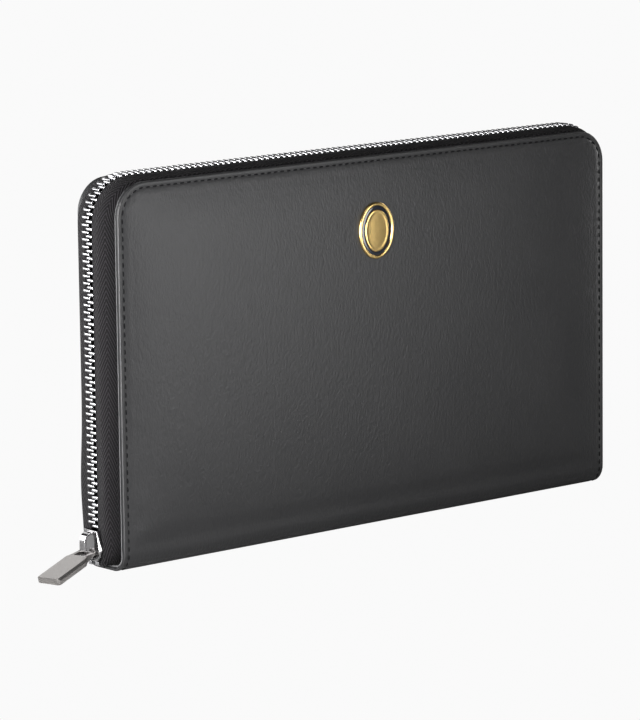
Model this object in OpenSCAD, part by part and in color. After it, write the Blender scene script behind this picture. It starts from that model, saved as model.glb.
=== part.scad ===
// Zip-round leather travel organizer, closed and standing on its spine.
// X runs along the long side, the front cover faces -Y and +Z is up.
// The origin is the middle of the flat base under the spine.
// Depths are distances from the mid plane, so one module makes a piece for either cover.

/* [Covers] */
// Width of the covers, along the long run of the zip
cover_w = 232; // [220:1:244]
// Height of the closed covers above the base
cover_h = 136; // [130:1:150]
// Thickness across the closed covers at their edges
body_d = 23; // [23:0.5:25]
// Radius of the covers' two top corners
corner_r = 12; // [10:1:16]
// How far each padded cover swells at its middle
crown = 2; // [0.6:0.1:2.6]

/* [Leather, boards and linings] */
// Thickness of the outer leather
leather_t = 1.2; // [1:0.1:1.4]
// Thickness of the turned leather edge
rim_t = 1.8; // [1.7:0.1:2]
// Width of the turned leather edge
rim_w = 6; // [5:0.5:8]
// Thickness of the stiffener boards
board_t = 0.7; // [0.5:0.1:0.7]
// Thickness of the inner facing leather
facing_t = 0.7; // [0.5:0.1:0.7]
// How far the facing leather stops short of the covers' edges
facing_inset = 0.6; // [0.3:0.1:1]
// Thickness of the lining fabric
lining_t = 0.5; // [0.3:0.1:0.5]
// Thickness of the pocket leather
pocket_t = 0.6; // [0.4:0.1:0.6]

/* [Spine] */
// Width of the flat base that the organizer stands on
base_w = 14; // [12:0.5:15]
// Height at which the fold in the leather ends and the covers begin
fold_h = 7; // [6:0.5:8]

/* [Zip] */
// How far the zip's tapes stand out beyond the covers' edges
bulge = 3.8; // [3:0.1:4.5]
// How much less they stand out along the top
top_tuck = 2.5; // [0:0.1:3]
// Thickness of the woven tapes
tape_t = 0.6; // [0.5:0.05:0.6]
// Distance between two teeth of one row
tooth_pitch = 2.54; // [2.5:0.01:2.7]
// Thickness of a tooth along the chain
tooth_t = 1.1; // [0.9:0.05:1.1]
// Half the height of a tooth across the tapes
tooth_h = 1.2; // [1:0.05:1.2]
// Length of the slider body
slider_l = 11; // [10:0.5:12]
// Height of the closed slider's middle above the base
slider_z = 9.3; // [9.3:0.1:12]

/* [Pull tab] */
// Length of the pull tab from its hinge bar
pull_l = 23; // [18:0.5:23]
// Width of the pull tab
pull_w = 10; // [8:0.5:11]
// Thickness of the pull tab
pull_t = 2.4; // [2:0.1:2.6]
// Angle at which the tab points below level
pull_dip = 14.3; // [0:0.1:14.3]
// Angle at which the tab is turned towards the front
pull_turn = 16; // [0:1:16]

/* [Badge] */
// Width of the oval metal plaque
badge_w = 16.6; // [12:0.2:18]
// Height of the oval metal plaque
badge_h = 20.6; // [16:0.2:22]
// Height of the plaque's middle above the base
badge_z = 109; // [90:1:115]

/* [Coin leaf] */
// Width of the zipped leaf between the covers
leaf_w = 208; // [200:1:210]
// Height of the leaf's top edge above the base
leaf_top = 118; // [116:1:122]
// Thickness of the leaf
leaf_d = 4.4; // [4.2:0.1:4.4]
// Height of the leaf's zip above the base
coin_zip_z = 104; // [100:1:106]
// Size of the leaf's zip beside the main zip
coin_scale = 0.7; // [0.6:0.05:0.7]

/* [Hidden] */
half_w = cover_w / 2;
half_d = body_d / 2;
half_base = base_w / 2;

gap = 0.05;             // between layers that are glued or sewn together
fold_gap = 0.4;         // between the spine's leather and a cover's
low = fold_h + fold_gap; // lowest edge of the covers' layers

// depths of the layers of a cover
rim_in = half_d - rim_t;
board_out = rim_in + board_t;
facing_out = rim_in - gap;
facing_in = facing_out - facing_t;
tape_out = facing_in - gap;
tape_in = tape_out - tape_t;
lining_out = tape_in - gap;
lining_in = lining_out - lining_t;
pocket_out = lining_in - gap;
pocket_in = pocket_out - pocket_t;
lining_inset = 1.2;

// the crowned face is where a swell across the height meets a swell across the width
crown_half_h = (cover_h - low) / 2;
crown_mid_z = (cover_h + low) / 2;
crown_steps = 12;
foam_inset = rim_w + 7;

// the spine's layers, as depths below its outer skin
spine_facing_d = leather_t + gap;
spine_board_d = spine_facing_d + facing_t + gap;
spine_lining_d = spine_board_d + board_t + gap;
spine_top = spine_lining_d + lining_t;
board_side = 0.5;       // how far the spine board stops short of the base's edge
fold_steps = 10;

// the chain runs up the left edge, over the top and down the right edge
ring_top = cover_h - top_tuck;
chain_r = corner_r + bulge;
chain_x = half_w + bulge;
first_tooth_z = slider_z + slider_l / 2 + 1.2;
last_tooth_z = 13.2;
left_run = ring_top - corner_r - first_tooth_z;
bend_run = PI * chain_r / 2;
top_run = cover_w - 2 * corner_r;
right_run = ring_top - corner_r - last_tooth_z;
chain_run = left_run + 2 * bend_run + top_run + right_run;
tooth_count = floor(chain_run / tooth_pitch);

tape_edge = 2;          // where each tape ends inside its teeth
tape_flat = 5;          // where the tape starts to curve towards the cover
tape_flange = 6;        // how far the tape runs in between the layers
tape_steps = 8;
tape_end_z = 2.2;

tooth_back = 2.75;      // outer end of a tooth, behind the tape's edge
tooth_head = 0.8;       // how far a tooth reaches past the middle
tooth_slot = 0.36;      // half the width of the slot that grips the tape
tooth_chamfer = 0.4;
stop_l = 1.4;           // the two small stops at the zip's open end
joined_stop_l = 3;      // the stop that joins the tapes at its far end
joined_stop_z = 8.4;

plate_in = 1.35;        // the slider's two plates
plate_out = 2.3;
slot_half = 0.6;        // half the slot that the tape runs in
narrow_half = 3.5;
wide_half = 4.9;
flange_w = 0.6;
bridge_w = 3;
bridge_t = 0.9;
bridge_out = 6;
bridge_half_l = slider_l / 2 - 0.5;
bridge_square = 3;      // 2 is an ellipse, and more is squarer

bar_out = 3.95;         // the pull's hinge bar, out from the tape and down from the middle
bar_down = 2.4;
bar_r = 0.5;
eye_r = 0.65;
eye_half_gap = 2.2;
eye_half_w = 3.4;
window_l = 4.6;
pull_bevel = 0.8;

badge_t = 1.6;
badge_out = half_d + crown + 0.4;
badge_rim = 1.3;
inlay_drop = 0.4;
pin_r = 0.6;
pin_clear = 0.1;
pin_half_spacing = 5;
washer_r = 2;
washer_t = 0.4;

pocket_half_w = half_w - 8;
pocket_low = 14;
slot_top = 88;          // the highest card slot, and how far each next one steps down
slot_step = 10;
slot_w = 94;
slot_mid_x = 53;
thumb_r = 11;
thumb_rise = 3;         // how far a thumb notch's middle lies above its pocket's edge
boarding_top = 112;
passport_top = 100;
ticket_top = 84;

leaf_half_d = leaf_d / 2;
leaf_skin = 0.6;
leaf_low = 9;
leaf_welt = 4;
leaf_bead_r = 0.9;
leaf_axis_z = spine_top + leaf_bead_r + 0.1;
coin_plane = leaf_half_d - leaf_skin / 2;
coin_half_l = 98;       // half the length of the leaf's zip opening
coin_half_h = 5.5;      // half its height
coin_tape_t = 0.4;
coin_slider_x = -88;
coin_first_x = coin_slider_x + coin_scale * (slider_l / 2 + 1.2);
coin_pitch = tooth_pitch * coin_scale;
coin_teeth_n = floor((coin_half_l - 3 - coin_first_x) / coin_pitch);
coin_pull_l = 16;       // before it is scaled down
coin_pull_w = 7.8;
coin_pull_t = 1.3;

black_leather = "#26262a";
dark_cloth = "#1c1c20";
tape_black = "#2e2e34";
board_grey = "#8d8a84";
foam_grey = "#b8b6ae";
pocket_leather = "#303036";
silver = "#c9cacc";
gunmetal = "#5b5a5c";
gold = "#c9a548";
enamel = "#20262c";

$fn = 48;

// points of an arc or of a quarter ellipse
function arc(c, r, from, to, n) =
  [for (i = [0:n]) let (a = from + (to - from) * i / n) [c[0] + r[0] * cos(a), c[1] + r[1] * sin(a)]];

// outline of a cover layer in x and z, drawn in by inset from the edge, with round top corners
function panel(inset, bottom, side = half_w, top = cover_h, r = corner_r) =
  let (w = side - inset, h = top - inset, c = max(r - inset, 0.5))
  concat([[-w, bottom], [w, bottom]],
         arc([w - c, h - c], [c, c], 0, 90, 12),
         arc([c - w, h - c], [c, c], 90, 180, 12));

// a flat layer of the front cover between two depths
module layer(points, outer, inner) {
  translate([0, -inner, 0])
    rotate([90, 0, 0])
      linear_extrude(outer - inner) polygon(points);
}

module on_back() {
  mirror([0, 1, 0]) children();
}

// a profile in y and z, swept along X over the length l
module along_x(points, l) {
  rotate([90, 0, 90])
    linear_extrude(l, center = true) polygon(points);
}

// a bar's section from depth inner to a skin that swells over half on each side, as [place, depth]
function swell(half, inward, inner) =
  concat([[-half, inner], [half, inner]],
         [for (i = [crown_steps:-1:0])
           let (t = 2 * i / crown_steps - 1)
           [t * half, half_d + crown * (1 - t * t) - inward]]);

// the crowned block of the front cover, with its skin moved in by inward
module crowned(points, inward, inner) {
  intersection() {
    layer(points, half_d + crown + 1, inner);
    along_x([for (p = swell(crown_half_h, inward, inner - 1)) [-p[1], crown_mid_z + p[0]]],
            cover_w + 2);
    linear_extrude(cover_h + 1)
      polygon([for (p = swell(half_w, inward, inner - 1)) [p[0], -p[1]]]);
  }
}

module pin_holes(r) {
  for (s = [-1, 1])
    translate([0, 0, badge_z + s * pin_half_spacing])
      rotate([90, 0, 0]) cylinder(r = r, h = half_d + crown + 2);
}

module oval(w, h) {
  polygon(arc([0, badge_z], [w / 2, h / 2], 0, 355, 71));
}

// ---- outer leather, padding and boards ----

module cover_leather(recess) {
  difference() {
    crowned(panel(0, low), 0, rim_in);
    crowned(panel(rim_w, low + rim_w), leather_t, rim_in - 1);
    if (recess) {
      translate([0, -(badge_out - badge_t), 0])
        rotate([90, 0, 0]) linear_extrude(5) oval(badge_w + 0.1, badge_h + 0.1);
      pin_holes(pin_r + pin_clear);
    }
  }
}

module cover_foam(recess) {
  difference() {
    crowned(panel(foam_inset, low + foam_inset), leather_t + gap, board_out + gap);
    if (recess) pin_holes(pin_r + pin_clear);
  }
}

module cover_board(recess) {
  difference() {
    layer(panel(rim_w + 0.1, low + rim_w + 0.1), board_out, rim_in);
    if (recess) pin_holes(pin_r + pin_clear);
  }
}

module cover_facing(recess) {
  difference() {
    layer(panel(facing_inset, low), facing_out, facing_in);
    if (recess) pin_holes(washer_r + pin_clear);
  }
}

module cover_lining() {
  layer(panel(lining_inset, low, top = ring_top), lining_out, lining_in);
}

module front_leather() { color(black_leather) cover_leather(true); }
module front_foam() { color(foam_grey) cover_foam(true); }
module front_board() { color(board_grey) cover_board(true); }
module front_facing() { color(black_leather) cover_facing(true); }
module front_lining() { color(dark_cloth) cover_lining(); }
module back_leather() { color(black_leather) on_back() cover_leather(false); }
module back_foam() { color(foam_grey) on_back() cover_foam(false); }
module back_board() { color(board_grey) on_back() cover_board(false); }
module back_facing() { color(black_leather) on_back() cover_facing(false); }
module back_lining() { color(dark_cloth) on_back() cover_lining(); }

// ---- spine ----

// half of the U that wraps under the covers, at depth d below its skin, from the top of the fold
function fold(d) =
  arc([-half_base, fold_h], [half_d - half_base - d, fold_h - d], 180, 270, fold_steps);
function flip(points) = [for (i = [len(points) - 1:-1:0]) [-points[i][0], points[i][1]]];

module wrap(from, to, l) {
  outer = concat(fold(from), flip(fold(from)));
  inner = concat(fold(to), flip(fold(to)));
  along_x(concat(outer, [for (i = [len(inner) - 1:-1:0]) inner[i]]), l);
}

module spine_leather() {
  color(black_leather) wrap(0, leather_t, cover_w);
}

module spine_facing() {
  color(black_leather)
    wrap(spine_facing_d, spine_facing_d + facing_t, cover_w - 2 * facing_inset);
}

module spine_board() {
  color(board_grey)
    translate([-half_w + rim_w, -half_base + board_side, spine_board_d])
      cube([cover_w - 2 * rim_w, base_w - 2 * board_side, board_t]);
}

module spine_lining() {
  color(dark_cloth)
    translate([-half_w + lining_inset, -half_base, spine_lining_d])
      cube([cover_w - 2 * lining_inset, base_w, lining_t]);
}

// ---- zip tapes ----

// section of a tape: distance beyond the cover's edge, and depth
tape_mid = (tape_out + tape_in) / 2;
function tape_curve(side) =
  let (start = facing_inset - 1)
  arc([start, tape_flat],
      [bulge - start + side * tape_t / 2, tape_mid - tape_flat + side * tape_t / 2],
      90, 0, tape_steps);
tape_section = concat([[-tape_flange, tape_out]], tape_curve(1),
                      [[bulge + tape_t / 2, tape_edge], [bulge - tape_t / 2, tape_edge]],
                      [for (i = [tape_steps:-1:0]) tape_curve(-1)[i]],
                      [[-tape_flange, tape_in]]);
tape_tail = [[bulge - tape_t / 2, tape_edge], [bulge + tape_t / 2, tape_edge],
             [bulge + tape_t / 2, tape_flat], [bulge - tape_t / 2, tape_flat]];

module upright(section, from, to) {
  for (s = [-1, 1])
    translate([0, 0, from])
      linear_extrude(to - from)
        polygon([for (p = section) [s * (half_w + p[0]), -p[1]]]);
}

module tape() {
  upright(tape_section, low, ring_top - corner_r);
  upright(tape_tail, tape_end_z, low);
  for (s = [0, 1])
    mirror([s, 0, 0])
      translate([half_w - corner_r, 0, ring_top - corner_r])
        rotate([90, 0, 0])
          rotate_extrude(angle = 90)
            polygon([for (p = tape_section) [corner_r + p[0], p[1]]]);
  translate([-top_run / 2, 0, ring_top])
    rotate([0, 90, 0])
      linear_extrude(top_run) polygon([for (p = tape_section) [-p[0], -p[1]]]);
}

module front_tape() { color(tape_black) tape(); }
module back_tape() { color(tape_black) on_back() tape(); }

// ---- zip teeth ----

// one tooth of the front row: chain along X, outwards +Z, head towards +Y
module tooth() {
  slot_in = tape_edge - gap;
  rotate([90, 0, 90])
    linear_extrude(tooth_t, center = true)
      polygon([[-tooth_back, tooth_slot], [-tooth_back, tooth_h - 0.3], [-tooth_back + tooth_chamfer, tooth_h],
               [tooth_head - tooth_chamfer, tooth_h], [tooth_head, tooth_h - 0.5],
               [tooth_head, 0.5 - tooth_h], [tooth_head - tooth_chamfer, -tooth_h],
               [-tooth_back + tooth_chamfer, -tooth_h], [-tooth_back, 0.3 - tooth_h], [-tooth_back, -tooth_slot],
               [-slot_in, -tooth_slot], [-slot_in, tooth_slot]]);
}

// the child at distance s along the chain, from the closed end by the slider
module on_chain(s) {
  s1 = left_run;
  s2 = s1 + bend_run;
  s3 = s2 + top_run;
  s4 = s3 + bend_run;
  turn = s < s1 ? 90
       : s < s2 ? 90 * (1 - (s - s1) / bend_run)
       : s < s3 ? 0
       : s < s4 ? -90 * (s - s3) / bend_run
       : -90;
  mid_x = half_w - corner_r;
  x = s < s2 ? -mid_x - chain_r * sin(turn)
    : s < s3 ? s - s2 - mid_x
    : mid_x - chain_r * sin(turn);
  z = s < s1 ? first_tooth_z + s
    : s < s4 ? ring_top - corner_r + chain_r * cos(turn)
    : ring_top - corner_r - (s - s4);
  translate([x, 0, z]) rotate([0, -turn, 0]) children();
}

module front_teeth() {
  color(silver)
    for (i = [0:tooth_count - 1]) on_chain(i * tooth_pitch) tooth();
}

module back_teeth() {
  color(silver)
    for (i = [0:tooth_count - 1]) on_chain((i + 0.5) * tooth_pitch) on_back() tooth();
}

// a clip that grips one tape's edge, on the front side, with the chain along Z
module clip(l, inner) {
  linear_extrude(l)
    polygon([[-tooth_h, -inner], [-tooth_h, -tooth_back], [-tooth_slot, -tooth_back],
             [-tooth_slot, gap - tape_edge], [tooth_slot, gap - tape_edge], [tooth_slot, -tooth_back],
             [tooth_h, -tooth_back], [tooth_h, -inner]]);
}

module zip_top_stops() {
  color(silver)
    for (s = [0, 1])
      mirror([0, s, 0]) translate([-chain_x, 0, tape_end_z]) clip(stop_l, 1);
}

module zip_bottom_stop() {
  color(silver)
    for (s = [0, 1])
      mirror([0, s, 0]) translate([chain_x, 0, joined_stop_z]) clip(joined_stop_l, 0);
}

// ---- slider: outwards +X, across Y, narrow end up, middle at the origin ----

function slider_outline(inset) =
  let (n = narrow_half - inset, w = wide_half - inset, l = slider_l / 2)
  [[n, l], [w, -1], [w, 1.8 - l], [w - 1.2, 0.4 - l], [1.6, -l], [0, 0.5 - l],
   [-1.6, -l], [1.2 - w, 0.4 - l], [-w, 1.8 - l], [-w, -1], [-n, l]];

module slider_slab(from, to) {
  translate([from, 0, 0])
    rotate([90, 0, 90])
      linear_extrude(to - from) polygon(slider_outline(0));
}

// the strip along one edge of a plate that turns in towards the tape
module slider_flange(from, to) {
  l = slider_l / 2;
  for (s = [-1, 1])
    translate([from, 0, 0])
      rotate([90, 0, 90])
        linear_extrude(to - from)
          polygon([[s * narrow_half, l], [s * wide_half, -1], [s * wide_half, -2.4],
                   [s * (wide_half - flange_w), -2.4], [s * (wide_half - flange_w), -1],
                   [s * (narrow_half - flange_w), l]]);
}

module zip_slider() {
  l = slider_l / 2;
  for (s = [0, 1])
    mirror([s, 0, 0]) {
      slider_slab(plate_in, plate_out);
      slider_flange(slot_half, plate_in);
    }
  rotate([0, 90, 0])
    linear_extrude(2 * plate_in, center = true)
      polygon([[l - 0.5, 0], [l - 1.8, 1.4], [0.8, 0], [l - 1.8, -1.4]]);
}

// an arch over the outer plate, rise high and half long on each side
function arch(rise, half) =
  [for (i = [0:20])
    let (a = 9 * i - 90, e = 2 / bridge_square)
    [plate_out + rise * pow(max(cos(a), 0), e), half * sign(a) * pow(abs(sin(a)), e)]];

// the bridge that the pull hangs on, from one end of the outer plate to the other
module zip_bridge() {
  rise = bridge_out - plate_out;
  rotate([90, 0, 0])
    linear_extrude(bridge_w, center = true)
      difference() {
        polygon(arch(rise, bridge_half_l));
        polygon(arch(rise - bridge_t, bridge_half_l - bridge_t));
      }
}

module at_slider() {
  translate([-chain_x, 0, slider_z]) mirror([1, 0, 0]) children();
}

module slider_body() { color(gunmetal) at_slider() zip_slider(); }
module slider_bridge() { color(gunmetal) at_slider() zip_bridge(); }

// a pull with its hinge bar along Y at the origin and its blade towards +X
module pull(l, w, t) {
  neck = window_l + 3;
  difference() {
    intersection() {
      translate([0, 0, -t / 2])
        linear_extrude(t)
          polygon(concat([[0, -eye_half_w], [window_l, -eye_half_w], [neck, -w / 2]],
                         arc([l - 1.2, 1.2 - w / 2], [1.2, 1.2], -90, 0, 6),
                         arc([l - 1.2, w / 2 - 1.2], [1.2, 1.2], 0, 90, 6),
                         [[neck, w / 2], [window_l, eye_half_w], [0, eye_half_w]]));
      rotate([90, 0, 90])
        linear_extrude(l)
          polygon([[-w / 2, -t / 2 + 0.3], [-w / 2 + 0.3, -t / 2], [w / 2 - 0.3, -t / 2],
                   [w / 2, -t / 2 + 0.3], [w / 2, t / 2 - pull_bevel], [w / 2 - pull_bevel, t / 2],
                   [-w / 2 + pull_bevel, t / 2], [-w / 2, t / 2 - pull_bevel]]);
      // thins towards the eye
      rotate([90, 0, 0])
        linear_extrude(w + 2, center = true)
          polygon([[0, -bar_r], [window_l, -t / 2], [l + 1, -t / 2],
                   [l + 1, t / 2], [window_l, t / 2], [0, bar_r]]);
    }
    translate([-1, -eye_half_gap, -t])
      cube([window_l + 1, 2 * eye_half_gap, 2 * t]);
  }
  rotate([90, 0, 0]) cylinder(r = bar_r, h = 2 * eye_half_gap + 1, center = true, $fn = 32);
  for (s = [-1, 1])
    translate([0, s * (eye_half_gap + eye_half_w) / 2, 0])
      rotate([90, 0, 0])
        cylinder(r = eye_r, h = eye_half_w - eye_half_gap, center = true, $fn = 32);
}

module pull_tab() {
  color(gunmetal)
    translate([-chain_x - bar_out, 0, slider_z - bar_down])
      rotate([0, 0, 180 + pull_turn])
        rotate([0, pull_dip, 0])
          pull(pull_l, pull_w, pull_t);
}

// ---- badge: a plain oval plaque ----

module badge_plate() {
  color(gold)
    translate([0, badge_t - badge_out, 0])
      rotate([90, 0, 0])
        difference() {
          linear_extrude(badge_t) oval(badge_w, badge_h);
          translate([0, 0, badge_t - inlay_drop])
            linear_extrude(1) oval(badge_w - 2 * badge_rim, badge_h - 2 * badge_rim);
        }
}

module badge_inlay() {
  color(enamel)
    translate([0, inlay_drop - badge_out, 0])
      rotate([90, 0, 0])
        linear_extrude(inlay_drop - 0.1)
          oval(badge_w - 2 * badge_rim - 0.1, badge_h - 2 * badge_rim - 0.1);
}

module badge_pins() {
  plate_back = badge_out - badge_t;
  color(gold)
    for (s = [-1, 1])
      translate([0, 0, badge_z + s * pin_half_spacing])
        rotate([90, 0, 0]) {
          translate([0, 0, rim_in - washer_t]) cylinder(r = pin_r, h = plate_back - rim_in + washer_t);
          translate([0, 0, rim_in - washer_t]) cylinder(r = washer_r, h = washer_t - gap);
        }
}

// ---- pockets ----

// a pocket panel of the front cover, with an optional thumb notch in its top edge
module pocket(x, w, top, outer, t, notch) {
  difference() {
    translate([x - w / 2, t - outer, pocket_low])
      rotate([90, 0, 0]) linear_extrude(t) square([w, top - pocket_low]);
    if (notch)
      translate([x, 1 - outer + t, top + thumb_rise])
        rotate([90, 0, 0]) cylinder(r = thumb_r, h = t + 2);
  }
}

module front_slip_pocket() {
  color(pocket_leather)
    pocket(0, 2 * pocket_half_w, leaf_top, pocket_out, pocket_t, false);
}

// the nth card slot of a column, counted from the highest
module card_slot(side, n) {
  color(pocket_leather)
    pocket(side * slot_mid_x, slot_w, slot_top - (n - 1) * slot_step,
           pocket_in - gap - (n - 1) * (pocket_t + gap), pocket_t, false);
}

module boarding_pass_pocket() {
  color(pocket_leather)
    on_back() pocket(0, 2 * pocket_half_w, boarding_top, pocket_out, pocket_t, true);
}

module passport_pocket() {
  color(pocket_leather)
    on_back() pocket(-slot_mid_x, slot_w, passport_top, pocket_in - gap, pocket_t, true);
}

module ticket_pocket() {
  color(pocket_leather)
    on_back() pocket(slot_mid_x, slot_w, ticket_top, pocket_in - gap, pocket_t, false);
}

// ---- the zipped coin leaf ----

module leaf_hinge_strip() {
  color(pocket_leather) {
    translate([0, 0, leaf_axis_z])
      rotate([0, 90, 0]) cylinder(r = leaf_bead_r, h = leaf_w, center = true, $fn = 32);
    translate([-leaf_w / 2, -0.4, leaf_axis_z])
      cube([leaf_w, 0.8, leaf_low - leaf_axis_z]);
  }
}

leaf_panel = panel(0, leaf_low, leaf_w / 2, leaf_top, 6);

// the strip that holds the two panels apart along their sides, bottom and top
module leaf_welt() {
  inner = leaf_half_d - leaf_skin;
  hole = panel(leaf_welt, leaf_low + leaf_welt, leaf_w / 2, leaf_top, 6);
  color(pocket_leather)
    difference() {
      layer(leaf_panel, inner, -inner);
      layer(hole, inner + 1, -inner - 1);
    }
}

module leaf_front_panel() {
  color(pocket_leather)
    difference() {
      layer(leaf_panel, leaf_half_d, leaf_half_d - leaf_skin);
      translate([-coin_half_l, -leaf_half_d - 1, coin_zip_z - coin_half_h])
        cube([2 * coin_half_l, leaf_skin + 2, 2 * coin_half_h]);
    }
}

module leaf_back_panel() {
  color(pocket_leather) layer(leaf_panel, leaf_skin - leaf_half_d, -leaf_half_d);
}

// the child on the leaf's zip at x: outwards -Y, along the chain +X
module on_coin_zip(x) {
  translate([x, -coin_plane, coin_zip_z]) children();
}

module coin_tapes() {
  inner = tape_edge * coin_scale;
  color(tape_black)
    for (s = [0, 1])
      on_coin_zip(0)
        mirror([0, 0, s])
          translate([-coin_half_l + gap, -coin_tape_t / 2, inner])
            cube([2 * (coin_half_l - gap), coin_tape_t, coin_half_h - gap - inner]);
}

module coin_teeth() {
  color(silver)
    for (i = [0:coin_teeth_n - 1], s = [0, 1])
      on_coin_zip(coin_first_x + (i + s / 2) * coin_pitch)
        mirror([0, 0, s]) rotate([90, 0, 0]) scale(coin_scale) tooth();
}

module coin_stops() {
  color(silver)
    for (x = [-coin_half_l + 3, coin_half_l - 2], s = [0, 1])
      on_coin_zip(x)
        mirror([0, 0, s])
          rotate([0, 90, 0]) rotate([0, 0, -90])
            scale(coin_scale) clip(stop_l, 1);
}

module at_coin_slider() {
  on_coin_zip(coin_slider_x)
    rotate([-90, 0, 0]) rotate([0, 90, 0]) scale(coin_scale) children();
}

module coin_slider_body() { color(gunmetal) at_coin_slider() zip_slider(); }
module coin_slider_bridge() { color(gunmetal) at_coin_slider() zip_bridge(); }

// a smaller pull that lies flat along the leaf, towards its closed end
module coin_pull() {
  color(gunmetal)
    at_coin_slider()
      translate([bar_out, 0, -bar_down])
        rotate([0, 90, 0]) pull(coin_pull_l, coin_pull_w, coin_pull_t);
}

spine_leather();
spine_facing();
spine_board();
spine_lining();
front_leather();
front_foam();
front_board();
front_facing();
front_lining();
back_leather();
back_foam();
back_board();
back_facing();
back_lining();
front_tape();
back_tape();
front_teeth();
back_teeth();
zip_top_stops();
zip_bottom_stop();
slider_body();
slider_bridge();
pull_tab();
badge_plate();
badge_inlay();
badge_pins();
front_slip_pocket();
card_slot(-1, 1);  // card_slot_left_1
card_slot(-1, 2);  // card_slot_left_2
card_slot(-1, 3);  // card_slot_left_3
card_slot(-1, 4);  // card_slot_left_4
card_slot(1, 1);  // card_slot_right_1
card_slot(1, 2);  // card_slot_right_2
card_slot(1, 3);  // card_slot_right_3
card_slot(1, 4);  // card_slot_right_4
boarding_pass_pocket();
passport_pocket();
ticket_pocket();
leaf_hinge_strip();
leaf_welt();
leaf_front_panel();
leaf_back_panel();
coin_tapes();
coin_teeth();
coin_stops();
coin_slider_body();
coin_slider_bridge();
coin_pull();
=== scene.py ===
import math

import bmesh
import bpy
import numpy as np
from mathutils import Matrix, Vector


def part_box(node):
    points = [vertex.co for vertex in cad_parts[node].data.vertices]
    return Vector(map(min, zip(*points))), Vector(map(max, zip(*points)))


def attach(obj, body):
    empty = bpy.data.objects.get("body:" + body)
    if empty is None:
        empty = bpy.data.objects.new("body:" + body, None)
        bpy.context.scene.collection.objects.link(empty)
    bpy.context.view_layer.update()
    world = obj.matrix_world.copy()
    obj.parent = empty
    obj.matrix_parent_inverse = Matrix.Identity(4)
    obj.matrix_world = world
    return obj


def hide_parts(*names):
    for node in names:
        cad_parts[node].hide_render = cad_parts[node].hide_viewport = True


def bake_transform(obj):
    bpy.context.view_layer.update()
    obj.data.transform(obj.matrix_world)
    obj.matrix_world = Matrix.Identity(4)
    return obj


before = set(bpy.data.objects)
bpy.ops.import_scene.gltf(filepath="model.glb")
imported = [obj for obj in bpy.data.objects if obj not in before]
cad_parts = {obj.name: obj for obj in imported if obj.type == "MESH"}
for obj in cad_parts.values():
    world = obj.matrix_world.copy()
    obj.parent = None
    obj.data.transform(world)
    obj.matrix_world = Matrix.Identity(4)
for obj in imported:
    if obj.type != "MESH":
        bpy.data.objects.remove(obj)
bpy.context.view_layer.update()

# Lengths below are in millimetres, and MM turns them into Blender's metres.
# x runs along the covers, y goes to the back, z goes up. "out" is the distance beyond the outer skin.
MM = 0.001


def box_mm(node):
    """Lowest and highest corner of a CAD node, in millimetres."""
    lo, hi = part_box(node)
    return np.array(lo) / MM, np.array(hi) / MM


# ---- driving dimensions, read from the frame ----

LEATHER_HI = box_mm("front_leather")[1]
HALF_W = LEATHER_HI[0]
TOP = LEATHER_HI[2]
RIM_IN = -LEATHER_HI[1]               # depth of the leather's turned edge, on its inner side
_, SPINE_HI = box_mm("spine_leather")
HALF_D = SPINE_HI[1]                  # depth of the covers' outer skin at their edges
FOLD_H = SPINE_HI[2]
BASE = box_mm("spine_board")[1][1] - 1.5   # half the flat that it stands on: the leather rolls up softly
CORNER_R = 12.0
FACING_LO, FACING_HI = box_mm("front_facing")
LINING_LO, LINING_HI = box_mm("front_lining")
TEETH_LO, TEETH_HI = box_mm("front_teeth")
TOOTH_H = 1.2
CHAIN_X = TEETH_HI[0] - TOOTH_H
CHAIN_TOP = TEETH_HI[2] - TOOTH_H
CHAIN_R = CHAIN_X - HALF_W + CORNER_R
BULGE = CHAIN_X - HALF_W
RING_TOP = CHAIN_TOP - BULGE          # the zip's ring sits lower along the top than the covers' edges
PITCH = 2.54
FIRST_TOOTH_Z = TEETH_LO[2] + 0.55

EDGE_R = 0.55                         # rounding of the leather's turned edge
SEAM_D = 2.0                          # the stitched channel, in from the edge
SEAM_DEPTH = 0.18
STITCH_PITCH = 3.0
MESH_STEP = STITCH_PITCH / 2
FOLD_STEP = 1.1
CORNER_BLOCK = 15.0                   # the square at each top corner where the mesh bends round


# ---- small mesh helpers ----

def mesh_object(name, verts_mm, faces, material=None, uvs=None, smooth=True):
    """A mesh from points in millimetres; uvs has one pair for each vertex, in millimetres too."""
    mesh = bpy.data.meshes.new(name)
    mesh.from_pydata((np.asarray(verts_mm, float) * MM).tolist(), [], [list(f) for f in faces])
    if uvs is not None:
        loops = np.zeros(len(mesh.loops), np.int32)
        mesh.loops.foreach_get("vertex_index", loops)
        layer = mesh.uv_layers.new(name="UVMap")
        layer.data.foreach_set("uv", (np.asarray(uvs, float)[loops] * MM).astype(np.float32).ravel())
    mesh.polygons.foreach_set("use_smooth", [smooth] * len(mesh.polygons))
    mesh.update()
    piece = bpy.data.objects.new(name, mesh)
    bpy.context.scene.collection.objects.link(piece)
    for m in material if isinstance(material, (list, tuple)) else [material]:
        if m is not None:
            mesh.materials.append(m)
    return piece


def fix_normals(piece):
    """Turns a closed mesh's faces outwards."""
    bm = bmesh.new()
    bm.from_mesh(piece.data)
    bmesh.ops.recalc_face_normals(bm, faces=bm.faces)
    bm.to_mesh(piece.data)
    bm.free()
    return piece


def grid_faces(rows, cols, start=0, close=False):
    """Quads of a grid of rows by cols vertices; close joins the last column to the first."""
    faces = []
    for r in range(rows - 1):
        for c in range(cols if close else cols - 1):
            d = (c + 1) % cols
            faces.append((start + r * cols + c, start + r * cols + d,
                          start + (r + 1) * cols + d, start + (r + 1) * cols + c))
    return faces


def tube_faces(rings, sides):
    """Faces of a tube of rings of vertices, closed at both ends."""
    last = (rings - 1) * sides
    ends = [tuple(range(sides)), tuple(range(last, last + sides))]
    return grid_faces(rings, sides, close=True) + ends


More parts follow.
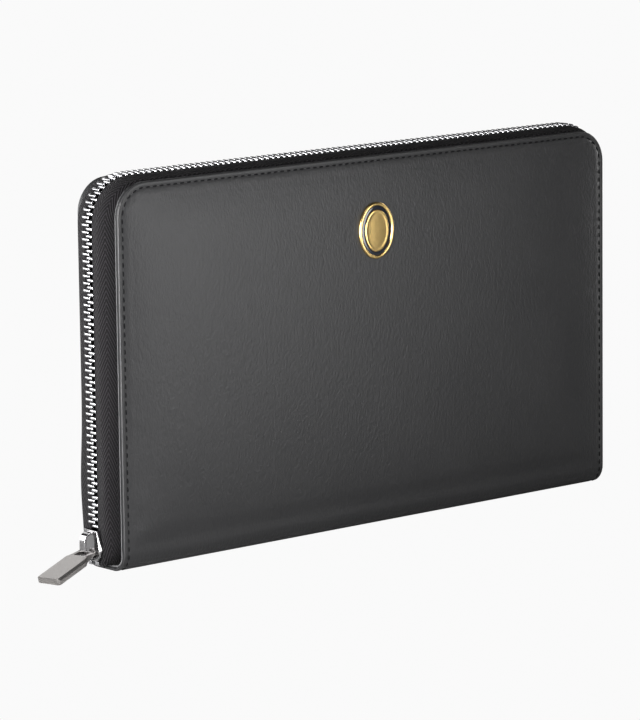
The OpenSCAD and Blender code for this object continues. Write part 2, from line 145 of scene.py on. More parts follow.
def copies(points, faces, places):
    """One mesh's worth of copies: each place is (origin, 3x3 matrix), applied to the points."""
    points = np.asarray(points, float)
    verts, all_faces = [], []
    for origin, turn in places:
        start = len(verts) * len(points)
        verts.append(points @ np.asarray(turn).T + origin)
        all_faces += [[start + i for i in f] for f in faces]
    return np.concatenate(verts), all_faces


def smoothstep(a, b, x):
    t = np.clip((np.asarray(x, float) - a) / (b - a), 0, 1)
    return t * t * (3 - 2 * t)


# ---- the skin: a point at (x, q), where q runs from the middle of the base up over the fold ----

FOLD_STEPS = 90
FOLD_ANGLE = np.linspace(0, math.pi / 2, FOLD_STEPS)
FOLD_Y = BASE + (HALF_D - BASE) * np.sin(FOLD_ANGLE)
FOLD_Z = FOLD_H * (1 - np.cos(FOLD_ANGLE))
FOLD_WALK = np.concatenate([[0], np.cumsum(np.hypot(np.diff(FOLD_Y), np.diff(FOLD_Z)))])
FOLD_L = FOLD_WALK[-1]
Q_FOLD = BASE + FOLD_L                # where the cover starts
Q_TOP = Q_FOLD + TOP - FOLD_H


def skin_point(x, q, out):
    """Points of the front half, out beyond the flat skin, for arrays x, q and out."""
    x, q, out = np.broadcast_arrays(np.asarray(x, float), q, out)
    a = np.interp(q - BASE, FOLD_WALK, FOLD_ANGLE)
    depth = np.where(q < BASE, q, BASE + (HALF_D - BASE) * np.sin(a))
    z = np.where(q < Q_FOLD, FOLD_H * (1 - np.cos(a)), q - Q_FOLD + FOLD_H)
    n_depth = np.sin(a) / (HALF_D - BASE)
    n_z = -np.cos(a) / FOLD_H
    size = np.hypot(n_depth, n_z)
    n_depth, n_z = n_depth / size, n_z / size
    n_depth = np.where(q <= BASE, 0, np.where(q >= Q_FOLD, 1, n_depth))
    n_z = np.where(q <= BASE, -1, np.where(q >= Q_FOLD, 0, n_z))
    return np.stack([x, -(depth + n_depth * out), z + n_z * out], -1)


def corner_turn(rings, radius, block):
    """For two grid indices from the corner, the place in the corner block, in from the two edges."""
    n = len(rings) - 1
    across = np.zeros((n + 1, n + 1))
    along = np.zeros((n + 1, n + 1))
    for i in range(n + 1):
        for j in range(n + 1):
            k = min(i, j)
            d = rings[k]
            if k == n:
                across[i, j] = along[i, j] = block
                continue
            t = 0.5 * (n - j) / (n - k) if i <= j else 0.5 + 0.5 * (i - k) / (n - k)
            rho = max(radius - d, 0.05)
            straight = block - d - rho
            total = 2 * straight + math.pi * rho / 2
            s = t * total
            if s < straight:
                across[i, j], along[i, j] = d, block - s
            elif s > total - straight:
                across[i, j], along[i, j] = block - (total - s), d
            else:
                a = (s - straight) / rho
                across[i, j] = d + rho * (1 - math.cos(a))
                along[i, j] = d + rho * (1 - math.sin(a))
    return across, along


def cover_grid(rings, q_start, step=MESH_STEP, half_w=HALF_W, q_top=Q_TOP, radius=CORNER_R,
               block=CORNER_BLOCK, rows=None):
    """A grid over one cover with rounded top corners. Returns x, q and each vertex's ring number.
    rings are distances in from the left, top and right edges, up to block."""
    n = len(rings) - 1
    inner = np.linspace(-half_w + block, half_w - block, 1 + round(2 * (half_w - block) / step))
    xs = np.concatenate([[-half_w + d for d in rings[:-1]], inner, [half_w - d for d in rings[:-1][::-1]]])
    if rows is None:
        fold = []
        if q_start < Q_FOLD:
            fold = np.linspace(q_start, Q_FOLD, 1 + round((Q_FOLD - q_start) / FOLD_STEP))[:-1]
        first, last = max(q_start, Q_FOLD), q_top - block
        rows = np.concatenate([fold, np.linspace(first, last, 1 + round((last - first) / step))])
    qs = np.concatenate([rows, [q_top - d for d in rings[:-1][::-1]]])
    x, q = np.meshgrid(xs, qs)
    cols, total = len(xs), len(qs)
    across, along = corner_turn(rings, radius, block)
    ring = np.full((total, cols), n)
    for c in range(cols):
        for r in range(total):
            ring[r, c] = min(c, cols - 1 - c, total - 1 - r, n)
    for i in range(n + 1):
        for j in range(n + 1):
            r = total - 1 - j
            x[r, i], q[r, i] = -half_w + across[i, j], q_top - along[i, j]
            x[r, cols - 1 - i], q[r, cols - 1 - i] = half_w - across[i, j], q_top - along[i, j]
    return x, q, ring


def closed_plate(name, top, under, keep, material, uvs=None):
    """A plate from two grids of points, walled round every border of the cells that keep says to keep."""
    rows, cols = keep.shape[0] + 1, keep.shape[1] + 1
    count = rows * cols
    faces = []
    borders = set()
    for r in range(rows - 1):
        for c in range(cols - 1):
            if not keep[r, c]:
                continue
            quad = (r * cols + c, r * cols + c + 1, (r + 1) * cols + c + 1, (r + 1) * cols + c)
            faces += [quad, tuple(v + count for v in reversed(quad))]
            for a, b in zip(quad, quad[1:] + quad[:1]):
                if (b, a) in borders:
                    borders.discard((b, a))
                else:
                    borders.add((a, b))
    faces += [(b, a, a + count, b + count) for a, b in sorted(borders)]
    verts = np.concatenate([np.reshape(top, (-1, 3)), np.reshape(under, (-1, 3))])
    piece = mesh_object(name, verts, faces, material, uvs)
    bm = bmesh.new()
    bm.from_mesh(piece.data)
    bmesh.ops.delete(bm, geom=[v for v in bm.verts if not v.link_faces], context="VERTS")
    bm.to_mesh(piece.data)
    bm.free()
    return fix_normals(piece)


def shell(name, grid, outer, inner, material, keep=None):
    """A closed shell on the skin, from a grid and the out of its two sides."""
    x, q, _ = grid
    if keep is None:
        keep = np.ones((x.shape[0] - 1, x.shape[1] - 1), bool)
    flat = np.stack([x.ravel(), q.ravel()], -1)
    return closed_plate(name, skin_point(x, q, outer), skin_point(x, q, inner), keep, material,
                        np.concatenate([flat, flat]))


def to_back(piece, name):
    """A copy of a front piece on the back cover."""
    mesh = piece.data.copy()
    mesh.name = name
    other = bpy.data.objects.new(name, mesh)
    bpy.context.scene.collection.objects.link(other)
    mesh.transform(((1, 0, 0, 0), (0, -1, 0, 0), (0, 0, 1, 0), (0, 0, 0, 1)))
    mesh.flip_normals()
    return other


# ---- bodies: what each piece moves with, and the CAD nodes that it stands for ----

def stand_in(piece, body, slot, *nodes):
    """The piece rides on the body and stands for the nodes; slot is not used."""
    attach(piece, body)
    if nodes:
        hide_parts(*nodes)


def bend_at_fold(piece, nodes):
    """The piece's place is baked into its mesh, and it stands for the nodes."""
    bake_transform(piece)
    if nodes:
        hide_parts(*nodes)


# ---- materials ----

def new_material(name, color, roughness, metallic=0.0, **sockets):
    m = bpy.data.materials.new(name)
    m.use_nodes = True
    shader = m.node_tree.nodes["Principled BSDF"]
    shader.inputs["Base Color"].default_value = (*color, 1)
    shader.inputs["Roughness"].default_value = roughness
    shader.inputs["Metallic"].default_value = metallic
    for key, value in sockets.items():
        shader.inputs[key.replace("_", " ")].default_value = value
    return m


class Nodes:
    """Short ways to add the nodes of one material."""

    def __init__(self, material):
        self.tree = material.node_tree
        self.shader = self.tree.nodes["Principled BSDF"]

    def add(self, kind, **values):
        node = self.tree.nodes.new(kind)
        for key, value in values.items():
            if key in node.inputs:
                node.inputs[key].default_value = value
            else:
                setattr(node, key, value)
        return node

    def link(self, a, b):
        self.tree.links.new(a, b)

    def place(self, scale, kind="UV"):
        """Coordinates times scale, from the UV map or the object."""
        coord = self.add("ShaderNodeTexCoord")
        mapping = self.add("ShaderNodeMapping", Scale=scale)
        self.link(coord.outputs[kind], mapping.inputs["Vector"])
        return mapping.outputs["Vector"]

    def noise(self, vector, scale, detail=4.0, rough=0.55):
        node = self.add("ShaderNodeTexNoise", Scale=scale, Detail=detail, Roughness=rough)
        self.link(vector, node.inputs["Vector"])
        return node.outputs["Fac"]

    def cells(self, vector, scale):
        node = self.add("ShaderNodeTexVoronoi", Scale=scale)
        self.link(vector, node.inputs["Vector"])
        return node.outputs["Distance"]

    def math(self, operation, a, b=None):
        node = self.add("ShaderNodeMath", operation=operation)
        for i, value in enumerate((a, b)):
            if value is None:
                continue
            if isinstance(value, (int, float)):
                node.inputs[i].default_value = value
            else:
                self.link(value, node.inputs[i])
        return node.outputs[0]

    def add_shares(self, a, a_share, b, b_share):
        """a and b added, each times its share."""
        return self.math("ADD", self.math("MULTIPLY", a, a_share), self.math("MULTIPLY", b, b_share))

    def ribs(self, value, width):
        """Ribs of that width across value, from 0 to 1."""
        wave = self.math("SINE", self.math("MULTIPLY", value, 2 * math.pi / width))
        return self.math("ADD", self.math("MULTIPLY", wave, 0.5), 0.5)

    def spread(self, value, low, high):
        """value, from 0 to 1, spread over low to high."""
        node = self.add("ShaderNodeMapRange")
        node.inputs["To Min"].default_value = low
        node.inputs["To Max"].default_value = high
        self.link(value, node.inputs["Value"])
        return node.outputs["Result"]

    def ramp(self, value, *stops):
        node = self.add("ShaderNodeValToRGB")
        elements = node.color_ramp.elements
        while len(elements) < len(stops):
            elements.new(0.5)
        for element, (place, color) in zip(elements, stops):
            element.position = place
            element.color = (*color, 1)
        self.link(value, node.inputs["Fac"])
        return node.outputs["Color"]

    def bump(self, height, distance, strength=1.0, under=None):
        node = self.add("ShaderNodeBump", Strength=strength, Distance=distance)
        self.link(height, node.inputs["Height"])
        if under is not None:
            self.link(under, node.inputs["Normal"])
        return node.outputs["Normal"]


def leather_material(name, tone, roughness, coordinates="UV", grain=1.0):
    """Smooth fine-grained leather: pebbled pores, fine creases and soft uneven gloss."""
    m = new_material(name, (tone, tone, tone * 1.05), roughness, Specular_IOR_Level=0.5)
    n = Nodes(m)
    flat = n.place((1, 1, 1), coordinates)
    drawn = n.place((1.0, 0.5, 1.0) if coordinates == "UV" else (1.0, 1.0, 0.5), coordinates)
    pores = n.cells(drawn, 1500.0)
    crease = n.noise(drawn, 820.0, 5.0, 0.6)
    cloud = n.noise(flat, 28.0, 3.0)
    uneven = n.add_shares(crease, 0.5, cloud, 0.5)
    color = n.ramp(uneven, (0.3, (tone * 0.8, tone * 0.8, tone * 0.86)),
                   (0.7, (tone * 1.2, tone * 1.2, tone * 1.25)))
    n.link(color, n.shader.inputs["Base Color"])
    n.link(n.spread(uneven, roughness - 0.07, roughness + 0.09), n.shader.inputs["Roughness"])
    normal = n.bump(pores, 0.00008 * grain, 0.6)
    normal = n.bump(crease, 0.0002 * grain, 0.65, normal)
    normal = n.bump(cloud, 0.0004 * grain, 0.25, normal)
    n.link(normal, n.shader.inputs["Normal"])
    return m


def herringbone_material(name, dark, light):
    """Woven zip tape: slanting ribs that turn at each column, with threads across them."""
    m = new_material(name, light, 0.75, Specular_IOR_Level=0.14, Sheen_Weight=0.02, Sheen_Roughness=0.4)
    n = Nodes(m)
    uv = n.place((1, 1, 1))
    parts = n.add("ShaderNodeSeparateXYZ")
    n.link(uv, parts.inputs[0])
    along, across = parts.outputs["X"], parts.outputs["Y"]
    turn = n.math("PINGPONG", across, 0.0029)
    slant = n.math("ADD", along, n.math("MULTIPLY", turn, 2.4))
    thread = n.math("ADD", n.math("MULTIPLY", n.ribs(across, 0.00042), 0.35), 0.65)
    woven = n.math("MULTIPLY", n.ribs(slant, 0.0021), thread)
    height = n.add_shares(woven, 1.0, n.noise(uv, 2600.0, 3.0), 0.35)
    color = n.ramp(height, (0.3, dark), (0.8, light))
    n.link(color, n.shader.inputs["Base Color"])
    n.link(n.bump(height, 0.0003, 1.0), n.shader.inputs["Normal"])
    return m


def cloth_material(name, tone):
    """Fine twill lining."""
    m = new_material(name, (tone, tone, tone * 1.1), 0.7, Sheen_Weight=0.3, Sheen_Roughness=0.35)
    n = Nodes(m)
    at = n.place((1, 1, 1), "Object")
    parts = n.add("ShaderNodeSeparateXYZ")
    n.link(at, parts.inputs[0])
    diagonal = n.math("ADD", parts.outputs["X"], n.math("ADD", parts.outputs["Z"], parts.outputs["Y"]))
    rib = n.math("SINE", n.math("MULTIPLY", diagonal, 2 * math.pi / 0.0008))
    fuzz = n.noise(at, 1800.0, 3.0)
    height = n.math("ADD", n.math("MULTIPLY", rib, 0.25), fuzz)
    n.link(n.ramp(height, (0.2, (tone * 0.6,) * 3), (0.9, (tone * 1.5, tone * 1.5, tone * 1.6))),
           n.shader.inputs["Base Color"])
    n.link(n.bump(height, 0.00012, 0.7), n.shader.inputs["Normal"])
    return m


def metal_material(name, color, roughness, brush=(1, 1, 1), depth=0.00002, spots=0.05):
    """Metal with fine brushing along one direction and slightly uneven polish."""
    m = new_material(name, color, roughness, metallic=1.0)
    n = Nodes(m)
    drawn = n.noise(n.place(brush, "Object"), 1400.0, 5.0, 0.6)
    cloud = n.noise(n.place((1, 1, 1), "Object"), 260.0, 3.0)
    mixed = n.add_shares(drawn, 0.6, cloud, 0.4)
    n.link(n.spread(mixed, max(roughness - spots, 0.03), roughness + spots), n.shader.inputs["Roughness"])
    dull, bright = tuple(c * 0.86 for c in color), tuple(min(c * 1.1, 1) for c in color)
    n.link(n.ramp(mixed, (0.25, dull), (0.75, bright)), n.shader.inputs["Base Color"])
    n.link(n.bump(drawn, depth, 0.35), n.shader.inputs["Normal"])
    return m


def plain_material(name, color, roughness, scale=400.0, spread=0.15, depth=0.0001, **sockets):
    """A matt or glossy surface with a fine uneven texture."""
    m = new_material(name, color, roughness, **sockets)
    n = Nodes(m)
    value = n.noise(n.place((1, 1, 1), "Object"), scale, 4.0)
    n.link(n.ramp(value, (0.3, tuple(c * (1 - spread) for c in color)),
                  (0.7, tuple(min(c * (1 + spread), 1) for c in color))), n.shader.inputs["Base Color"])
    n.link(n.bump(value, depth, 0.5), n.shader.inputs["Normal"])
    return m


LEATHER = leather_material("black_leather", 0.014, 0.41)
INNER_LEATHER = leather_material("inner_leather", 0.026, 0.5, "Object", 0.8)
PAINTED_EDGE = plain_material("painted_edge", (0.1, 0.1, 0.102), 0.36, 900.0, 0.1, 0.00004)
TAPE = herringbone_material("herringbone_tape", (0.0008, 0.0008, 0.001), (0.0125, 0.0112, 0.0128))
LINING = cloth_material("twill_lining", 0.018)
THREAD = plain_material("black_thread", (0.003, 0.003, 0.0035), 0.8, 3000.0, 0.3, 0.00008,
                        Specular_IOR_Level=0.15)
NICKEL = metal_material("polished_nickel", (0.56, 0.56, 0.575), 0.17)
DARK_NICKEL = metal_material("dark_nickel", (0.34, 0.335, 0.34), 0.12)
GUNMETAL = metal_material("brushed_gunmetal", (0.36, 0.345, 0.335), 0.34, (1, 14, 14), 0.00003, 0.06)
GOLD = metal_material("gold_plate", (0.86, 0.61, 0.24), 0.2)
ENAMEL = plain_material("dark_enamel", (0.012, 0.014, 0.02), 0.12, 500.0, 0.2, 0.00002, Coat_Weight=0.6)
BOARD = plain_material("grey_board", (0.3, 0.29, 0.27), 0.85, 700.0)
FOAM = plain_material("pale_foam", (0.55, 0.54, 0.5), 0.9, 1600.0, 0.12, 0.0002)


# ---- outer leather ----

def round_edge(radius, steps):
    """A quarter round: distances in from an edge, and how far the surface stands out there."""
    turn = np.linspace(0, math.pi / 2, steps)
    return [(radius * (1 - math.cos(a)), radius * (math.sin(a) - 1)) for a in turn]


# the channel that the stitches lie in: distances in from the edge, and how far its surface stands out there
SEAM_CHANNEL = [(0.85, 0.0), (1.3, -0.02), (1.6, -0.09), (1.8, -0.15), (SEAM_D, -SEAM_DEPTH), (2.2, -0.14),
                (2.5, -0.05), (3.0, 0.0)]
EDGE_ROUND = round_edge(EDGE_R, 5)
RINGS = [d for d, _ in EDGE_ROUND + SEAM_CHANNEL]
RINGS += [3.6, 4.4, 5.4, 6.6, 8.0, 9.5, 11.0, 13.0, CORNER_BLOCK]


def edge_distance(x, q):
    """Distance in from the nearest of the left, top and right edges, with rounded corners."""
    dx = HALF_W - np.abs(x)
    dz = Q_TOP - q
    corner = CORNER_R - np.hypot(np.maximum(CORNER_R - dx, 0), np.maximum(CORNER_R - dz, 0))
    return np.where((dx < CORNER_R) & (dz < CORNER_R), corner, np.minimum(dx, dz))


SWELL = 1.87                          # the most that the padded face stands proud
CLOTH_STEP = 3.0
CLOTH_FRAMES = 20
CLOTH_SCALE = 10                      # the cloth is simulated this many times as large as life


def swollen_face():
    """Leather laid slack over the padding, sewn down round its edge and pressed out by the foam: a cloth
    simulation. Returns the grid's x, q and the height of each point, from 0 to SWELL."""
    left, right = -HALF_W + SEAM_D, HALF_W - SEAM_D
    low, high = Q_FOLD - 1, Q_TOP - SEAM_D
    cols = 1 + round((right - left) / CLOTH_STEP)
    rows = 1 + round((high - low) / CLOTH_STEP)
    xs, qs = np.linspace(left, right, cols), np.linspace(low, high, rows)
    x, q = np.meshgrid(xs, qs)
    points = np.stack([x, q, np.zeros_like(x)], -1).reshape(-1, 3)
    cloth = mesh_object("pressed_leather", points * CLOTH_SCALE, grid_faces(rows, cols))
    held = (edge_distance(x, q) < SEAM_D + 0.8) | (q < low + 0.1)
    sewn = [int(i) for i in np.flatnonzero(held)]
    group = cloth.vertex_groups.new(name="sewn")
    group.add(sewn, 1.0, "REPLACE")
    press = cloth.modifiers.new("cloth", "CLOTH")
    press.settings.quality = 6
    press.settings.mass = 0.4
    press.settings.tension_stiffness = 30
    press.settings.compression_stiffness = 30
    press.settings.shear_stiffness = 12
    press.settings.bending_stiffness = 6
    press.settings.use_pressure = True
    press.settings.uniform_pressure_force = 4
    press.settings.shrink_min = -0.004
    press.settings.vertex_group_mass = "sewn"
    press.settings.effector_weights.gravity = 0
    press.point_cache.frame_end = CLOTH_FRAMES
    scene = bpy.context.scene
    for moment in range(1, CLOTH_FRAMES + 1):
        scene.frame_set(moment)
    shaped = cloth.evaluated_get(bpy.context.evaluated_depsgraph_get())
    height = np.array([v.co.z for v in shaped.data.vertices]).reshape(rows, cols)
    height = np.abs(height / MM / CLOTH_SCALE)
    scene.frame_set(1)
    bpy.data.objects.remove(cloth)
    # the foam stops the leather: it follows the cloth near the seam and levels off over the pad
    level = np.quantile(height, 0.55)
    return xs, qs, SWELL * np.tanh(1.15 * height / level) / math.tanh(1.15 * height.max() / level)


FACE_X, FACE_Q, FACE_HEIGHT = swollen_face()


def padding(x, q):
    """How far the padded face swells at x, q, between the points of the simulated grid."""
    u = np.clip((x - FACE_X[0]) / (FACE_X[1] - FACE_X[0]), 0, len(FACE_X) - 1.001)
    v = np.clip((q - FACE_Q[0]) / (FACE_Q[1] - FACE_Q[0]), 0, len(FACE_Q) - 1.001)
    i, j = u.astype(int), v.astype(int)
    fu, fv = smoothstep(0, 1, u - i), smoothstep(0, 1, v - j)
    low = FACE_HEIGHT[j, i] * (1 - fu) + FACE_HEIGHT[j, i + 1] * fu
    high = FACE_HEIGHT[j + 1, i] * (1 - fu) + FACE_HEIGHT[j + 1, i + 1] * fu
    return (low * (1 - fv) + high * fv) * smoothstep(Q_FOLD - 1, Q_FOLD + 8, q)


def outer_skin(x, q, ring):
    """Out of the leather's outer side over a whole grid."""
    d = edge_distance(x, q)
    edge = np.interp(np.array(RINGS)[ring], *zip(*EDGE_ROUND))
    low = smoothstep(Q_FOLD + 4, Q_FOLD - 6, q)
    seam = np.interp(d, *zip(*SEAM_CHANNEL))
    out = np.where(ring < len(EDGE_ROUND), edge, seam + padding(x, q))
    # the leather puckers a little between stitches, and ripples softly near the seam
    along = np.where(HALF_W - np.abs(x) < Q_TOP - q, q, x)
    pucker = 0.045 * np.cos(2 * math.pi * along / STITCH_PITCH) * np.exp(-((d - 2.9) / 0.9) ** 2)
    ripple = 0.05 * np.sin(along / 6.1 + 1.3) * np.sin(along / 3.7) * np.exp(-((d - 5.5) / 3) ** 2)
    # soft lumps where the leather gathers at the lower corner beside the zip's end
    lumps = 0.0
    for place, height, size in ((6.0, 6.0, 0.3), (7.5, 17.0, 0.16), (13.0, 9.0, 0.12)):
        lumps = lumps + size * np.exp(-((x + HALF_W - place) / 4) ** 2 - ((q - Q_FOLD - height) / 4.5) ** 2)
    return out + (pucker + ripple) * (1 - low) + lumps


LEATHER_T = 1.2


def leather_half():
    grid = cover_grid(RINGS, 0.0)
    x, q, ring = grid
    outer = outer_skin(x, q, ring)
    d = edge_distance(x, q)
    rim = HALF_D - RIM_IN
    thick_rim = LEATHER_T + (rim - LEATHER_T) * smoothstep(Q_FOLD - 5, Q_FOLD + 1, q)
    inner_edge = -thick_rim + 0.35 * (1 - smoothstep(0, 0.5, d))
    inner = np.where(d < 6, inner_edge, np.minimum(outer - LEATHER_T, inner_edge + smoothstep(6, 8, d) * 4))
    return shell("leather_front", grid, outer, inner, LEATHER)


leather_front = leather_half()
leather_back = to_back(leather_front, "leather_back")


# ---- facing leather with its painted edge ----

FACING_INSET = HALF_W - FACING_HI[0]
FACING_T = FACING_HI[1] - FACING_LO[1]


def paint_edge(piece, depth):
    """Gives the second material to the faces that lie within depth of the cover's edge."""
    mesh = piece.data
    uv = np.zeros(len(mesh.loops) * 2)
    mesh.uv_layers[0].data.foreach_get("uv", uv)
    x, q = uv.reshape(-1, 2).T / MM
    far = edge_distance(x, q)
    slots = [int(max(far[i] for i in face.loop_indices) < depth) for face in mesh.polygons]
    mesh.polygons.foreach_set("material_index", slots)


def facing_half():
    edge = round_edge(FACING_T / 2, 4)
    inset = FACING_INSET - 0.25
    rings = [inset + d for d, _ in edge] + [inset + d for d in (0.9, 2.0, 5.0, 9.0)] + [CORNER_BLOCK]
    grid = cover_grid(rings, 0.0, 4.0)
    _, q, ring = grid
    round_off = np.concatenate([[o for _, o in edge], np.zeros(len(rings) - len(edge))])[ring]
    at_fold = LEATHER_T + 0.05
    outside = -at_fold - (HALF_D + FACING_LO[1] - at_fold) * smoothstep(Q_FOLD - 5, Q_FOLD, q)
    piece = shell("facing_front", grid, outside + round_off, outside - FACING_T - round_off,
                  [INNER_LEATHER, PAINTED_EDGE])
    paint_edge(piece, FACING_INSET + 0.75)
    return piece


facing_front = facing_half()
facing_back = to_back(facing_front, "facing_back")


# ---- stitches round the covers ----

def seam_line(inset, spacing, q_from):
    """Places along the seam: x, q and the direction of travel in the (x, q) plane."""
    r = CORNER_R - inset
    side = Q_TOP - CORNER_R - q_from
    bend = math.pi * r / 2
    across = 2 * (HALF_W - CORNER_R)
    total = 2 * side + 2 * bend + across
    count = int(total / spacing)
    places = []
    for i in range(count):
        s = (i + 0.5) * total / count
        if s < side:
            x, q, a = -HALF_W + inset, q_from + s, 90
        elif s < side + bend:
            t = (s - side) / r
            x, q = -HALF_W + CORNER_R - r * math.cos(t), Q_TOP - CORNER_R + r * math.sin(t)
            a = 90 - math.degrees(t)
        elif s < side + bend + across:
            x, q, a = -HALF_W + CORNER_R + s - side - bend, Q_TOP - inset, 0
        elif s < side + 2 * bend + across:
            t = (s - side - bend - across) / r
            x, q = HALF_W - CORNER_R + r * math.sin(t), Q_TOP - CORNER_R + r * math.cos(t)
            a = -math.degrees(t)
        else:
            x, q, a = HALF_W - inset, Q_TOP - CORNER_R - (s - side - 2 * bend - across), -90
        places.append((x, q, math.radians(a)))
    return places


def capsule(length, radius, sides=8, rings=7):
    """A stitch that lies along x and dips at both ends."""
    verts = []
    for k in range(rings):
        t = 2 * k / (rings - 1) - 1
        w = radius * math.sqrt(max(1 - t ** 4, 0.03))
        for j in range(sides):
            a = 2 * math.pi * j / sides
            verts.append((t * length / 2, w * math.cos(a), w * math.sin(a) - 0.25 * t * t))
    return verts, tube_faces(rings, sides)


def cover_stitches():
    points, faces = capsule(STITCH_PITCH - 0.8, 0.26)
    points = np.asarray(points)
    verts, all_faces = [], []
    for i, (x, q, a) in enumerate(seam_line(SEAM_D, STITCH_PITCH, BASE + 1.5)):
        a += math.radians(4)
        u = x + points[:, 0] * math.cos(a) - points[:, 1] * math.sin(a)
        v = q + points[:, 0] * math.sin(a) + points[:, 1] * math.cos(a)
        verts.append(skin_point(u, v, points[:, 2] - SEAM_DEPTH + 0.1))
        all_faces += [[i * len(points) + k for k in f] for f in faces]
    return fix_normals(mesh_object("stitches_front", np.concatenate(verts), all_faces, THREAD))


stitches_front = cover_stitches()
stitches_back = to_back(stitches_front, "stitches_back")

# the leather, its facing and its stitches have their places baked into their meshes
bend_at_fold(leather_front, ["front_leather", "spine_leather"])
bend_at_fold(leather_back, ["back_leather"])
bend_at_fold(facing_front, ["front_facing", "spine_facing"])
bend_at_fold(facing_back, ["back_facing"])
bend_at_fold(stitches_front, [])
bend_at_fold(stitches_back, [])


# ---- the zip's ring: a place s along it, and n out from the ring ----

MID_X = HALF_W - CORNER_R
MID_Z = RING_TOP - CORNER_R


def ring_point(s, z_start, n):
    """A point n beyond the ring, s along it from z_start on the left side, and the direction outwards."""
    left = MID_Z - z_start
    bend = math.pi * CHAIN_R / 2
    top = 2 * MID_X
    if s < left:
        return np.array([-HALF_W - n, z_start + s]), np.array([-1.0, 0.0])
    if s < left + bend:
        t = (s - left) / CHAIN_R
        d = np.array([-math.cos(t), math.sin(t)])
        return np.array([-MID_X, MID_Z]) + d * (CORNER_R + n), d
    if s < left + bend + top:
        return np.array([-MID_X + s - left - bend, RING_TOP + n]), np.array([0.0, 1.0])
    if s < left + 2 * bend + top:
        t = (s - left - bend - top) / CHAIN_R
        d = np.array([math.sin(t), math.cos(t)])
        return np.array([MID_X, MID_Z]) + d * (CORNER_R + n), d
    return np.array([HALF_W + n, MID_Z - (s - left - 2 * bend - top)]), np.array([1.0, 0.0])


def ring_length(z_start, z_end):
    return (MID_Z - z_start) + (MID_Z - z_end) + math.pi * CHAIN_R + 2 * MID_X


# ---- tapes ----

TAPE_T = 0.6
TAPE_END = 2.2
TAPE_EDGE = 2.0
TAPE_DEPTH = -FACING_HI[1] - 0.05 - TAPE_T / 2   # of the tape's middle, where it leaves the facing
FLANGE = 5.5                          # of tape hidden under the facing
LIP_DEPTH = 3.6                       # where the gusset turns into the flat edge that holds the teeth
GATHER = 1.1                          # how far the tape swells out near the zip's lower left end


def inner_depth(z):
    """Depth of the tape's middle at height z, inside the facing of the fold."""
    if z >= FOLD_H + 2:
        return TAPE_DEPTH
    inset = HALF_D - TAPE_DEPTH
    t = min(max(1 - (z - inset * 0.6) / (FOLD_H + 2), 0), 1)
    return max(BASE + (HALF_D - BASE) * math.sqrt(1 - t * t) - inset, 4.4)


def tape_half():
    """Front tape: a woven strip from under the facing, out over the gusset to the teeth."""
    total = ring_length(TAPE_END, TAPE_END)
    rows = int(total / 2.0)
    verts, uvs = [], []
    bend_steps = 12
    flange_steps = 3
    for r in range(rows + 1):
        s = total * r / rows
        height = min(TAPE_END + min(s, total - s), MID_Z)
        depth = inner_depth(height)
        on_left = s < total / 2
        swell = GATHER * math.exp(-((height - 30) / 16) ** 2) if on_left and height < MID_Z else 0.0
        line = [(-FLANGE * (1 - k / flange_steps), depth) for k in range(flange_steps)]
        for k in range(bend_steps + 1):
            a = math.pi / 2 * k / bend_steps
            n = -0.4 + (BULGE + 0.4) * math.sin(a) + swell * math.sin(2 * a) ** 2
            line.append((n, LIP_DEPTH + (depth - LIP_DEPTH) * math.cos(a) ** 0.85))
        line += [(BULGE, 2.8), (BULGE, TAPE_EDGE)]
        line = np.array(line)
        walk = np.concatenate([[0], np.cumsum(np.hypot(*np.diff(line, axis=0).T))])
        step = np.gradient(line, axis=0)
        normal = np.stack([-step[:, 1], step[:, 0]], -1)
        normal /= np.linalg.norm(normal, axis=1)[:, None]
        for side in (1, -1):
            order = range(len(line)) if side == 1 else range(len(line) - 1, -1, -1)
            for k in order:
                n, d = line[k] + side * normal[k] * TAPE_T / 2
                (x, z), _ = ring_point(s, TAPE_END, n)
                verts.append((x, -d, z))
                uvs.append((s, walk[k] - walk[-1]))
    return fix_normals(mesh_object("tape_front", verts, tube_faces(rows + 1, 2 * len(line)), TAPE, uvs))


tape_front = tape_half()
tape_back = to_back(tape_front, "tape_back")


# ---- teeth ----

TOOTH_T = 1.15
LAST_TOOTH_Z = 13.2


def tooth_shape():
    """One tooth, chain along x, outwards z, head towards +y: a body on the tape and a rounded head."""
    t, h = TOOTH_T / 2, TOOTH_H
    # half outlines seen from outside: place along y, half thickness, half height
    stations = [(-2.78, t * 0.55, h * 0.62), (-2.68, t * 0.88, h * 0.86), (-2.4, t, h * 0.98), (-1.6, t, h),
                (-0.9, t, h), (-0.45, t * 0.97, h * 0.98), (-0.1, t * 0.9, h * 0.94),
                (0.25, t * 0.86, h * 0.9), (0.6, t * 0.74, h * 0.8), (0.78, t * 0.45, h * 0.6)]
    sides = 16
    squarer = 0.55                    # below 1, so that the section is nearer a rectangle than an ellipse
    verts = []
    for y, half_t, half_h in stations:
        for k in range(sides):
            a = 2 * math.pi * (k + 0.5) / sides
            c, s = math.cos(a), math.sin(a)
            verts.append((half_t * math.copysign(abs(c) ** squarer, c), y,
                          half_h * math.copysign(abs(s) ** squarer, s)))
    return verts, tube_faces(len(stations), sides)


def teeth_row(name, offset, sign):
    """One row of teeth round the ring; offset is in pitches, and sign is the way that the heads point."""
    count = int(ring_length(FIRST_TOOTH_Z, LAST_TOOTH_Z) / PITCH)
    points, faces = tooth_shape()
    places = []
    for i in range(count):
        (x, z), out = ring_point((i + offset) * PITCH, FIRST_TOOTH_Z, BULGE)
        along = np.array([out[1], 0, -out[0]])
        outward = np.array([out[0], 0, out[1]])
        turn = np.stack([along, np.array([0, sign, 0]), outward], -1)
        places.append((np.array([x, 0, z]), turn))
    verts, all_faces = copies(points, faces, places)
    return fix_normals(mesh_object(name, verts, all_faces, NICKEL))


